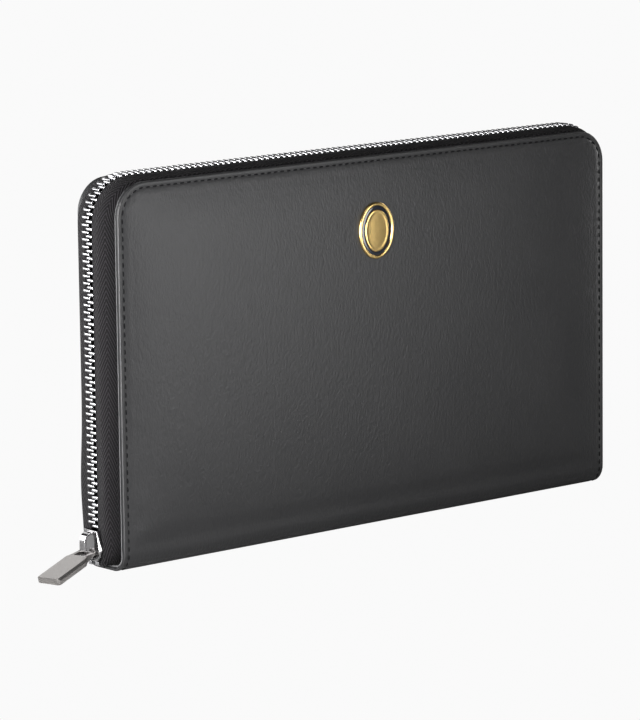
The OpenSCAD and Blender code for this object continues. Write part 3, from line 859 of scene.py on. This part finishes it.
teeth_front = teeth_row("teeth_front", 0.0, 1)
teeth_back = teeth_row("teeth_back", 0.5, -1)

stand_in(tape_front, "front_cover", "zip_tape", "front_tape")
stand_in(tape_back, "back_cover", "zip_tape", "back_tape")
stand_in(teeth_front, "front_cover", "teeth_metal", "front_teeth")
stand_in(teeth_back, "back_cover", "teeth_metal", "back_teeth")


# ---- badge: a plain oval plaque, with no mark ----

PLATE_LO, PLATE_HI = box_mm("badge_plate")


def oval_lathe(name, profile, material):
    """An oval solid in the badge's place: each point of profile is (distance in from its edge, depth)."""
    mid = (PLATE_LO + PLATE_HI) / 2
    half = (PLATE_HI - PLATE_LO) / 2
    sides = 72
    verts = []
    for inset, depth in profile:
        for k in range(sides):
            a = 2 * math.pi * k / sides
            x = mid[0] + (half[0] - inset) * math.cos(a)
            verts.append((x, -depth, mid[2] + (half[2] - inset) * math.sin(a)))
    return fix_normals(mesh_object(name, verts, tube_faces(len(profile), sides), material))


face = -PLATE_LO[1]
back = -PLATE_HI[1]
rim = [(0.35, back), (0.08, back + 0.15), (0.0, back + 0.45), (0.0, face - 0.55), (0.07, face - 0.3),
       (0.22, face - 0.1), (0.42, face), (0.95, face), (1.1, face - 0.06), (1.2, face - 0.2),
       (1.24, face - 0.42)]
plaque = oval_lathe("badge_plaque", rim, GOLD)
band = [(1.24, face - 0.75), (1.24, face - 0.38), (1.4, face - 0.32), (2.2, face - 0.26), (3.2, face - 0.26),
        (4.2, face - 0.3), (7.6, face - 0.3)]
inlay = oval_lathe("badge_enamel", band, ENAMEL)
boss = [(2.7, face - 0.34), (2.7, face - 0.16), (2.78, face - 0.08), (2.95, face - 0.03), (3.2, face - 0.01),
        (3.6, face - 0.05), (4.2, face - 0.06), (5.6, face - 0.02), (7.9, face - 0.01)]
middle = oval_lathe("badge_inner_ring", boss, GOLD)
stand_in(plaque, "front_cover", "badge_gold", "badge_plate")
stand_in(inlay, "front_cover", "badge_enamel", "badge_inlay")
stand_in(middle, "front_cover", "badge_gold")


# ---- padding: a foam pad behind each cover's leather ----

FOAM_LO, FOAM_HI = box_mm("front_foam")


def q_at(z):
    """The skin coordinate q of a point at height z on a cover."""
    return Q_FOLD + z - FOLD_H


def foam_pad():
    round_off = [0.55, 0.3, 0.12, 0.03, 0.0]
    rings = [0.0, 0.15, 0.4, 0.8, 1.4, 3.0, 6.0]
    grid = cover_grid(rings, q_at(FOAM_LO[2]), 4.0, FOAM_HI[0], q_at(FOAM_HI[2]), 6.0, 6.0)
    x, q, ring = grid
    ring = np.minimum(ring, np.arange(x.shape[0])[:, None])
    pinch = np.interp(ring, range(len(rings)), round_off + [0, 0])
    face = outer_skin(x, q, np.full(x.shape, len(RINGS) - 1)) - LEATHER_T - 0.1
    back = -(HALF_D + FOAM_HI[1])
    return shell("padding_front", grid, np.maximum(face - pinch, back + 0.6), back + pinch * 0.5, FOAM)


padding_front = foam_pad()
padding_back = to_back(padding_front, "padding_back")
for piece, side in ((padding_front, "front"), (padding_back, "back")):
    stand_in(piece, side + "_cover", "foam", side + "_foam")


# ---- lining: one cloth in each half, from the spine's middle round the fold and up the cover ----

LINING_IN = -LINING_HI[1]
LINING_OUT = -LINING_LO[1]
LINING_TURN = 2.2                     # the curve of the lining in the fold, measured in y
SPINE_LINING_LO, SPINE_LINING_HI = box_mm("spine_lining")
LINING_CORNER = CORNER_R - (HALF_W - LINING_HI[0])


def lining_half():
    """The cloth's section runs flat, then round a quarter of an ellipse, then straight up."""
    middle_depth = (LINING_IN + LINING_OUT) / 2
    floor_z = (SPINE_LINING_LO[2] + SPINE_LINING_HI[2]) / 2
    flat_end = middle_depth - LINING_TURN
    rise = FOLD_H + 1 - floor_z
    turn = np.linspace(0, math.pi / 2, 9)
    line = [(d, floor_z, 0, 1) for d in np.linspace(0, flat_end, 5)[:-1]]
    line += [(flat_end + LINING_TURN * math.sin(a), floor_z + rise * (1 - math.cos(a)), -math.sin(a),
              math.cos(a)) for a in turn]
    top = LINING_HI[2]
    bend = np.linspace(0, math.pi / 2, 9)
    line += [(middle_depth, z, -1, 0) for z in np.linspace(floor_z + rise, top - LINING_CORNER, 40)[1:]]
    line += [(middle_depth, top - LINING_CORNER + LINING_CORNER * math.sin(a), -1, 0) for a in bend[1:]]
    line = np.array(line)
    walk = np.concatenate([[0], np.cumsum(np.hypot(*np.diff(line[:, :2], axis=0).T))])
    above = np.maximum(line[:, 1] - (top - LINING_CORNER), 0)
    half = LINING_HI[0] - LINING_CORNER + np.sqrt(np.maximum(LINING_CORNER ** 2 - above ** 2, 0.01))
    half -= 5.0 * smoothstep(FOLD_H + 6, FOLD_H, line[:, 1])
    shares = np.sin(np.linspace(-1, 1, 61) * math.pi / 2)
    x = half[:, None] * shares[None, :]
    thick = (LINING_OUT - LINING_IN) / 2
    wave = 0.05 * np.sin(x / 17 + 1.1) * np.sin(walk[:, None] / 13 + 0.4)
    sides = []
    for side in (1, -1):
        off = side * thick * 0.9 * np.ones_like(x) + wave
        off[:, [0, -1]] = wave[:, [0, -1]]
        depth = line[:, 0:1] - off * -line[:, 2:3]
        z = line[:, 1:2] + off * line[:, 3:4]
        sides.append(np.stack([x, -depth, z], -1))
    keep = np.ones((x.shape[0] - 1, x.shape[1] - 1), bool)
    flat = np.stack([x.ravel(), np.broadcast_to(walk[:, None], x.shape).ravel()], -1)
    piece = closed_plate("lining_front", sides[0], sides[1], keep, LINING, np.concatenate([flat, flat]))
    area = float(np.sum(np.diff(walk) * (half[1:] + half[:-1])))
    return piece, (2 * LINING_HI[0] * MM, walk[-1] * MM), area * MM * MM


lining_front, LINING_FLAT, LINING_AREA = lining_half()
lining_back = to_back(lining_front, "lining_back")
bend_at_fold(lining_front, ["front_lining", "spine_lining"])
bend_at_fold(lining_back, ["back_lining"])


# ---- pockets and card slots: thin panels with a turned top edge, a crease below it, and stitches ----

THUMB_R = 11.0
THUMB_RISE = 3.0                      # how far a thumb notch's middle lies above its pocket's edge
CREASE_AT = 2.4                       # of the crease, below the top edge
POCKET_SEAM = 1.5                     # of the stitches, in from a pocket's sides
SEAM_LOW = 17.0                       # height where the stitches at a pocket's sides start
INNER_PITCH = 2.6


def pocket_panel(name, node, body, notch=False):
    """A pocket panel in its CAD node's place; its seen side faces the middle of the organizer."""
    lo, hi = box_mm(node)
    seen, hidden = (hi[1], lo[1]) if hi[1] < 0 else (lo[1], hi[1])
    toward = math.copysign(1, seen - hidden)
    width, height = hi[0] - lo[0], hi[2] - lo[2]
    insets = [0.0, 0.08, 0.25, 0.5]
    inner = list(np.linspace(1, width - 1, int(width / 2)))
    across = np.array(insets + inner + [width - d for d in insets[::-1]])
    down = [0.0, 0.08, 0.25, 0.6, 1.6, 2.1, CREASE_AT, 2.7, 3.2]
    middle = np.linspace(0.6, height - 4.0, int(height / 3))
    up = np.array([0.0, 0.08, 0.25] + list(middle) + [height - d for d in down[::-1]])
    x, v = np.meshgrid(lo[0] + across, up)
    from_middle = np.abs(x - (lo[0] + hi[0]) / 2)
    cut = np.zeros_like(x)
    if notch:
        cut = np.maximum(np.sqrt(np.maximum(THUMB_R ** 2 - from_middle ** 2, 0)) - THUMB_RISE, 0)
    z = lo[2] + v - cut * np.clip(v / (height - 3.2), 0, 1) ** 3
    border = np.minimum(np.minimum(x - lo[0], hi[0] - x), np.minimum(v, height - v))
    pinch = np.interp(border, [0, 0.08, 0.25, 0.5], [0.24, 0.1, 0.02, 0.0])
    crease = np.interp(height - v, [1.6, 2.1, CREASE_AT, 2.7, 3.2], [0, 0.1, 0.2, 0.14, 0.07])
    crease = np.where(height - v > 3.2, 0.07, crease)
    bow = 0.06 * np.sin(x / 21 + height) * np.sin(v / 16)
    face = seen - toward * (np.maximum(pinch, 0) + crease + 0.06 + bow * (border > 1))
    rear = hidden + toward * pinch
    keep = np.ones((x.shape[0] - 1, x.shape[1] - 1), bool)
    sides = np.stack([x, face, z], -1), np.stack([x, np.broadcast_to(rear, x.shape), z], -1)
    stand_in(closed_plate(name, *sides, keep, INNER_LEATHER), body, "pocket_leather", node)


def straight_seam(start, end, depth, toward):
    """Places of stitches along a straight line between two points in x and z, at depth y."""
    start, end = np.array(start, float), np.array(end, float)
    length = np.linalg.norm(end - start)
    count = max(int(length / INNER_PITCH), 1)
    way = (end - start) / length
    along = np.array([way[0], 0, way[1]])
    out = np.array([0, toward, 0])
    turn = np.stack([along, np.cross(out, along), out], -1)
    places = []
    for i in range(count):
        x, z = start + (end - start) * (i + 0.5) / count
        places.append((np.array([x, depth, z]), turn))
    return places


def inner_stitches(name, places, body):
    points, faces = capsule(INNER_PITCH - 0.7, 0.2)
    verts, all_faces = copies(points, faces, places)
    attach(fix_normals(mesh_object(name, verts, all_faces, THREAD)), body)


def u_seam(node, from_z, to_z, toward, with_bottom=True):
    """Stitches down both sides of a pocket and, where asked, along its bottom."""
    lo, hi = box_mm(node)
    face = (hi[1] if toward > 0 else lo[1]) - toward * 0.04
    left, right = lo[0] + POCKET_SEAM, hi[0] - POCKET_SEAM
    places = straight_seam((left, from_z), (left, to_z), face, toward)
    places += straight_seam((right, from_z), (right, to_z), face, toward)
    if with_bottom:
        z = lo[2] + POCKET_SEAM
        places += straight_seam((left + 1, z), (right - 1, z), face, toward)
    return places


def front_pockets():
    """A slip pocket across the cover, with two columns of card slots on it."""
    pocket_panel("slip_pocket", "front_slip_pocket", "front_cover")
    seams = u_seam("front_slip_pocket", SEAM_LOW, 116, 1)
    for side in ("left", "right"):
        for n in (1, 2, 3, 4):
            node = f"card_slot_{side}_{n}"
            pocket_panel(f"card_pocket_{side}_{n}", node, "front_cover")
            top = box_mm(node)[1][2] - 1.2
            low = box_mm(f"card_slot_{side}_{n + 1}")[1][2] + 0.6 if n < 4 else SEAM_LOW
            seams += u_seam(node, low, top, 1, n == 4)
    inner_stitches("pocket_stitches_front", seams, "front_cover")


def back_pockets():
    """Pockets for a boarding pass, a passport and tickets, each with the height its stitches reach."""
    seams = []
    for name, node, notch, seam_top in (("boarding_pocket", "boarding_pass_pocket", True, 110),
                                        ("passport_sleeve", "passport_pocket", True, 98),
                                        ("ticket_sleeve", "ticket_pocket", False, 82)):
        pocket_panel(name, node, "back_cover", notch)
        seams += u_seam(node, SEAM_LOW, seam_top, -1)
    inner_stitches("pocket_stitches_back", seams, "back_cover")


front_pockets()
back_pockets()


# ---- the zipped leaf ----

PANEL_LO, PANEL_HI = box_mm("leaf_back_panel")
LEAF_R = 6.0
LEAF_TOP = PANEL_HI[2]
COIN_TAPE_LO, COIN_TAPE_HI = box_mm("coin_tapes")
WINDOW_X = COIN_TAPE_HI[0] + 0.05
WINDOW_Z = (COIN_TAPE_LO[2] - 0.05, COIN_TAPE_HI[2] + 0.05)
WELT_W = 4.0
LEAF_SEAM = 2.6                       # of the leaf's stitches, in from its edge


def leaf_grid():
    """A grid over the leaf, whose lines run along the edges of its zip window."""
    insets = [0.0, 0.06, 0.2, 0.45, 1.0, WELT_W, LEAF_R]
    low, high = q_at(PANEL_LO[2]), q_at(LEAF_TOP)
    window_low, window_high = q_at(WINDOW_Z[0]), q_at(WINDOW_Z[1])
    rows = [low + d for d in (0.0, 0.06, 0.2, 0.45, 1.0, WELT_W)]
    rows += list(np.linspace(low + LEAF_R, window_low - 2, 30)) + [window_low - 0.5, window_low]
    rows += list(np.linspace(window_low, window_high, 5)[1:]) + [window_high + 0.5, high - LEAF_R]
    return cover_grid(insets, low, 2.0, PANEL_HI[0], high, LEAF_R, LEAF_R, np.array(rows))


def leaf_inset(x, q):
    """Distance in from the leaf's nearest edge."""
    dx, dz = PANEL_HI[0] - np.abs(x), q_at(LEAF_TOP) - q
    corner = LEAF_R - np.hypot(np.maximum(LEAF_R - dx, 0), np.maximum(LEAF_R - dz, 0))
    upper = np.where((dx < LEAF_R) & (dz < LEAF_R), corner, np.minimum(dx, dz))
    return np.minimum(upper, q - q_at(PANEL_LO[2]))


def cell_middles(x, q):
    return (x[:-1, :-1] + x[1:, 1:]) / 2, (q[:-1, :-1] + q[1:, 1:]) / 2


def leaf_panel(name, node, front):
    """One face of the leaf; the front one has the window for the leaf's zip."""
    lo, hi = box_mm(node)
    grid = leaf_grid()
    x, q, _ = grid
    inset = leaf_inset(x, q)
    pinch = np.interp(inset, [0, 0.06, 0.2, 0.45], [0.26, 0.14, 0.04, 0.0])
    crease = 0.1 * np.exp(-((inset - LEAF_SEAM) / 0.5) ** 2)
    middle_x, middle_q = cell_middles(x, q)
    keep = np.ones(middle_x.shape, bool)
    if front:
        in_height = (middle_q > q_at(WINDOW_Z[0])) & (middle_q < q_at(WINDOW_Z[1]))
        keep = ~((np.abs(middle_x) < WINDOW_X) & in_height)
    near, far = (-hi[1], -lo[1]) if front else (lo[1], hi[1])
    outer = far - HALF_D - pinch - crease
    piece = shell(name, grid, outer, near - HALF_D + pinch, INNER_LEATHER, keep)
    if not front:
        turned = to_back(piece, name + "_turned")
        bpy.data.objects.remove(piece)
        turned.name = name
        piece = turned
    stand_in(piece, "coin_leaf", "pocket_leather", node)


def leaf_strip():
    """The bead that the leaf hangs on and its web: one rounded section along x."""
    lo, hi = box_mm("leaf_hinge_strip")
    radius = hi[1]
    bead_z = lo[2] + radius
    web = 0.38
    leave = math.asin(web / radius)
    section = [(radius * math.sin(a), bead_z + radius * math.cos(a))
               for a in np.linspace(leave, 2 * math.pi - leave, 22)]
    section += [(-web, bead_z + 1.8), (-web, hi[2] - 0.4), (-web * 0.8, hi[2])]
    section += [(web * 0.8, hi[2]), (web, hi[2] - 0.4), (web, bead_z + 1.8)]
    places = [lo[0], lo[0] + 0.15, *np.linspace(lo[0] + 1, hi[0] - 1, 80), hi[0] - 0.15, hi[0]]
    verts = []
    for x in places:
        end = min(x - lo[0], hi[0] - x)
        size = 0.86 if end < 0.01 else 1.0
        sway = 0.03 * math.sin(x / 9) if end > 0.5 else 0.0
        for y, z in section:
            shrink = size if z < bead_z + 1 else 1
            verts.append((x, y * size + sway, bead_z + (z - bead_z) * shrink))
    faces = tube_faces(len(places), len(section))
    piece = fix_normals(mesh_object("leaf_bead", verts, faces, INNER_LEATHER))
    stand_in(piece, "coin_leaf", "pocket_leather", "leaf_hinge_strip")


def leaf_stitches():
    """Round both faces of the leaf, and round the window on its front."""
    places = []
    for toward, depth in ((-1, -PANEL_HI[1]), (1, PANEL_HI[1])):
        left, right = PANEL_LO[0] + LEAF_SEAM, PANEL_HI[0] - LEAF_SEAM
        low, high = PANEL_LO[2] + LEAF_SEAM, LEAF_TOP - LEAF_SEAM
        face = depth - toward * 0.02
        corner = LEAF_R - 2
        places += straight_seam((left, low + 1), (left, high - corner), face, toward)
        places += straight_seam((right, low + 1), (right, high - corner), face, toward)
        places += straight_seam((left + 1, low), (right - 1, low), face, toward)
        places += straight_seam((left + corner, high), (right - corner, high), face, toward)
    face = -PANEL_HI[1] + 0.02
    for z in (WINDOW_Z[0] - 1.2, WINDOW_Z[1] + 1.2):
        places += straight_seam((-WINDOW_X, z), (WINDOW_X, z), face, -1)
    inner_stitches("leaf_stitches", places, "coin_leaf")


def coin_tape_strips():
    """Two woven strips, one on each side of the leaf's zip."""
    lo, hi = COIN_TAPE_LO, COIN_TAPE_HI
    middle = (lo[2] + hi[2]) / 2
    inner = 1.4
    verts, faces, uvs = [], [], []
    for low, high in ((lo[2], middle - inner), (middle + inner, hi[2])):
        xs = np.linspace(lo[0], hi[0], 99)
        zs = [low, low + 0.05, *np.linspace(low + 0.4, high - 0.4, 4), high - 0.05, high]
        for side in (0, 1):
            order = zs if side == 0 else zs[::-1]
            for x in xs:
                for z in order:
                    end = min(z - low, high - z)
                    thin = 0.07 if end < 0.01 else 0.0
                    verts.append((x, lo[1] + thin if side == 0 else hi[1] - thin, z))
                    uvs.append((x, z))
    rows, cols = 99, len(zs)
    for strip in (0, 1):
        start = strip * 2 * rows * cols
        other = start + rows * cols
        ring = [[start + r * cols + c for c in range(cols)] + [other + r * cols + c for c in range(cols)]
                for r in range(rows)]
        for a, b in zip(ring, ring[1:]):
            faces += [(a[k], a[(k + 1) % len(a)], b[(k + 1) % len(a)], b[k]) for k in range(len(a))]
        faces += [tuple(ring[0]), tuple(ring[-1])]
    piece = fix_normals(mesh_object("coin_tape_strips", verts, faces, TAPE, uvs))
    stand_in(piece, "coin_leaf", "zip_tape", "coin_tapes")


def leaf_spacer():
    """The welt between the leaf's two panels, along its sides, bottom and top."""
    hi = box_mm("leaf_welt")[1]
    grid = leaf_grid()
    x, q, _ = grid
    inset = leaf_inset(x, q)
    keep = leaf_inset(*cell_middles(x, q)) < WELT_W
    half = hi[1] - 0.3 * np.interp(inset, [0, 0.2, 0.45], [1, 0.3, 0])
    piece = shell("leaf_spacer", grid, half - HALF_D, -half - HALF_D, INNER_LEATHER, keep)
    stand_in(piece, "coin_leaf", "pocket_leather", "leaf_welt")


leaf_panel("leaf_face", "leaf_front_panel", True)
leaf_panel("leaf_rear", "leaf_back_panel", False)
leaf_strip()
leaf_stitches()
coin_tape_strips()
leaf_spacer()


# ---- CAD nodes that keep their shape get finer edges and their materials ----

BEVEL_ABOVE = 28                      # degrees: gentler edges than this stay smooth


def top_stop(side, sign):
    """One of the two stops where the zip ends. It is clamped to its own tape, so it goes with that cover."""
    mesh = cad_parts["zip_top_stops"].data.copy()
    cut = bmesh.new()
    cut.from_mesh(mesh)
    bmesh.ops.delete(cut, geom=[v for v in cut.verts if sign * v.co.y < 0], context="VERTS")
    cut.to_mesh(mesh)
    cut.free()
    piece = bpy.data.objects.new("top_stop_" + side, mesh)
    bpy.context.scene.collection.objects.link(piece)
    stand_in(piece, side + "_cover", "teeth_metal", "zip_top_stops")
    return piece


def finish_node(node, material, bevel):
    """A fine rounded edge, flat faces kept flat by their normals, and the material."""
    node.data.materials.clear()
    node.data.materials.append(material)
    weld = node.modifiers.new("weld", "WELD")
    weld.merge_threshold = 0.000004
    edge = node.modifiers.new("bevel", "BEVEL")
    edge.width = bevel * MM
    edge.segments = 3
    edge.limit_method = "ANGLE"
    edge.angle_limit = math.radians(BEVEL_ABOVE)
    node.data.polygons.foreach_set("use_smooth", [True] * len(node.data.polygons))
    even = node.modifiers.new("flat_faces", "WEIGHTED_NORMAL")
    even.weight = 100


for name, material, bevel in (
        ("slider_body", DARK_NICKEL, 0.14), ("slider_bridge", DARK_NICKEL, 0.22),
        ("pull_tab", GUNMETAL, 0.16), ("coin_slider_body", DARK_NICKEL, 0.1),
        ("coin_slider_bridge", DARK_NICKEL, 0.14), ("coin_pull", GUNMETAL, 0.1),
        ("zip_bottom_stop", NICKEL, 0.2), ("coin_stops", NICKEL, 0.08),
        ("coin_teeth", NICKEL, 0.08), ("badge_pins", GOLD, 0.06),
        ("spine_board", BOARD, 0.1), ("front_board", BOARD, 0.1), ("back_board", BOARD, 0.1)):
    finish_node(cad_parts[name], material, bevel)
for side, sign in (("front", -1), ("back", 1)):
    finish_node(top_stop(side, sign), NICKEL, 0.12)


# ---- floor, light and camera ----

PALE = 0.955                          # the studio's near-white, as a linear value


def seen_white(tree, out_socket, dim_shader):
    """Near-white where the camera looks straight at it, and dim_shader where it lights the object."""
    path = tree.nodes.new("ShaderNodeLightPath")
    white = tree.nodes.new("ShaderNodeEmission")
    white.inputs["Color"].default_value = (PALE, PALE, PALE, 1)
    mix = tree.nodes.new("ShaderNodeMixShader")
    tree.links.new(path.outputs["Is Camera Ray"], mix.inputs[0])
    tree.links.new(dim_shader, mix.inputs[1])
    tree.links.new(white.outputs[0], mix.inputs[2])
    tree.links.new(mix.outputs[0], out_socket)


def stage_floor():
    size = 4000.0
    corners = [(-size, -size, -0.02), (size, -size, -0.02), (size, size, -0.02), (-size, size, -0.02)]
    material = plain_material("pale_floor", (0.3, 0.3, 0.3), 0.7, 3.0, 0.02, 0.0001)
    tree = material.node_tree
    seen_white(tree, tree.nodes["Material Output"].inputs["Surface"],
               tree.nodes["Principled BSDF"].outputs[0])
    mesh_object("floor", corners, [(0, 1, 2, 3)], material)


def area_light(name, place, target, size, power):
    """A soft box at place, in millimetres, that faces target; power is in watts."""
    light = bpy.data.lights.new(name, "AREA")
    light.shape = "RECTANGLE"
    light.size, light.size_y = size[0] * MM, size[1] * MM
    light.energy = power
    lamp = bpy.data.objects.new(name, light)
    bpy.context.scene.collection.objects.link(lamp)
    lamp.visible_camera = False
    lamp.location = Vector(place) * MM
    lamp.rotation_euler = (Vector(target) - Vector(place)).to_track_quat("-Z", "Y").to_euler()


stage_floor()
area_light("front_box", (160, -380, 90), (-110, -12, 100), (140, 180), 0.56)
area_light("near_left_box", (-330, -150, 120), (-116, -11, 90), (120, 240), 2.6)
area_light("left_box", (-620, 90, 260), (-116, 0, 70), (260, 620), 1.0)
area_light("zip_box", (-560, 470, 190), (-120, 0, 70), (460, 360), 3.2)
area_light("top_box", (-160, -160, 520), (-20, 0, 130), (420, 60), 0.25)
area_light("right_box", (620, -60, 200), (116, 0, 70), (120, 500), 1.2)
area_light("tab_box", (-28, 202, 163), (-135, 0, 5), (150, 110), 0.075)
area_light("back_box", (-60, 520, 150), (90, 12, 100), (260, 320), 0.4)

world = bpy.data.worlds.new("studio")
world.use_nodes = True
world.node_tree.nodes["Background"].inputs["Color"].default_value = (1, 1, 1, 1)
world.node_tree.nodes["Background"].inputs["Strength"].default_value = 0.09
seen_white(world.node_tree, world.node_tree.nodes["World Output"].inputs["Surface"],
           world.node_tree.nodes["Background"].outputs[0])
bpy.context.scene.world = world
bpy.context.scene.view_settings.view_transform = "Standard"

CAMERA_AZIMUTH = -40.48
CAMERA_ELEVATION = 9.61
CAMERA_ROLL = -0.72
CAMERA_DISTANCE = 1489.2
CAMERA_AIM = (-16.1, 0, 62.0)
CAMERA_LENS = 205.7


def make_camera():
    data = bpy.data.cameras.new("camera")
    data.lens = CAMERA_LENS
    data.sensor_width = 36
    camera = bpy.data.objects.new("camera", data)
    bpy.context.scene.collection.objects.link(camera)
    a, e = math.radians(CAMERA_AZIMUTH), math.radians(CAMERA_ELEVATION)
    away = Vector((math.sin(a) * math.cos(e), -math.cos(a) * math.cos(e), math.sin(e)))
    camera.location = (Vector(CAMERA_AIM) + away * CAMERA_DISTANCE) * MM
    level = (-away).to_track_quat("-Z", "Y").to_matrix().to_4x4()
    spin = Vector((0, 0, 1))
    roll = level @ Matrix.Rotation(math.radians(CAMERA_ROLL), 4, spin)
    camera.rotation_euler = roll.to_euler()
    data.clip_start, data.clip_end = 0.05, 20
    bpy.context.scene.camera = camera


make_camera()
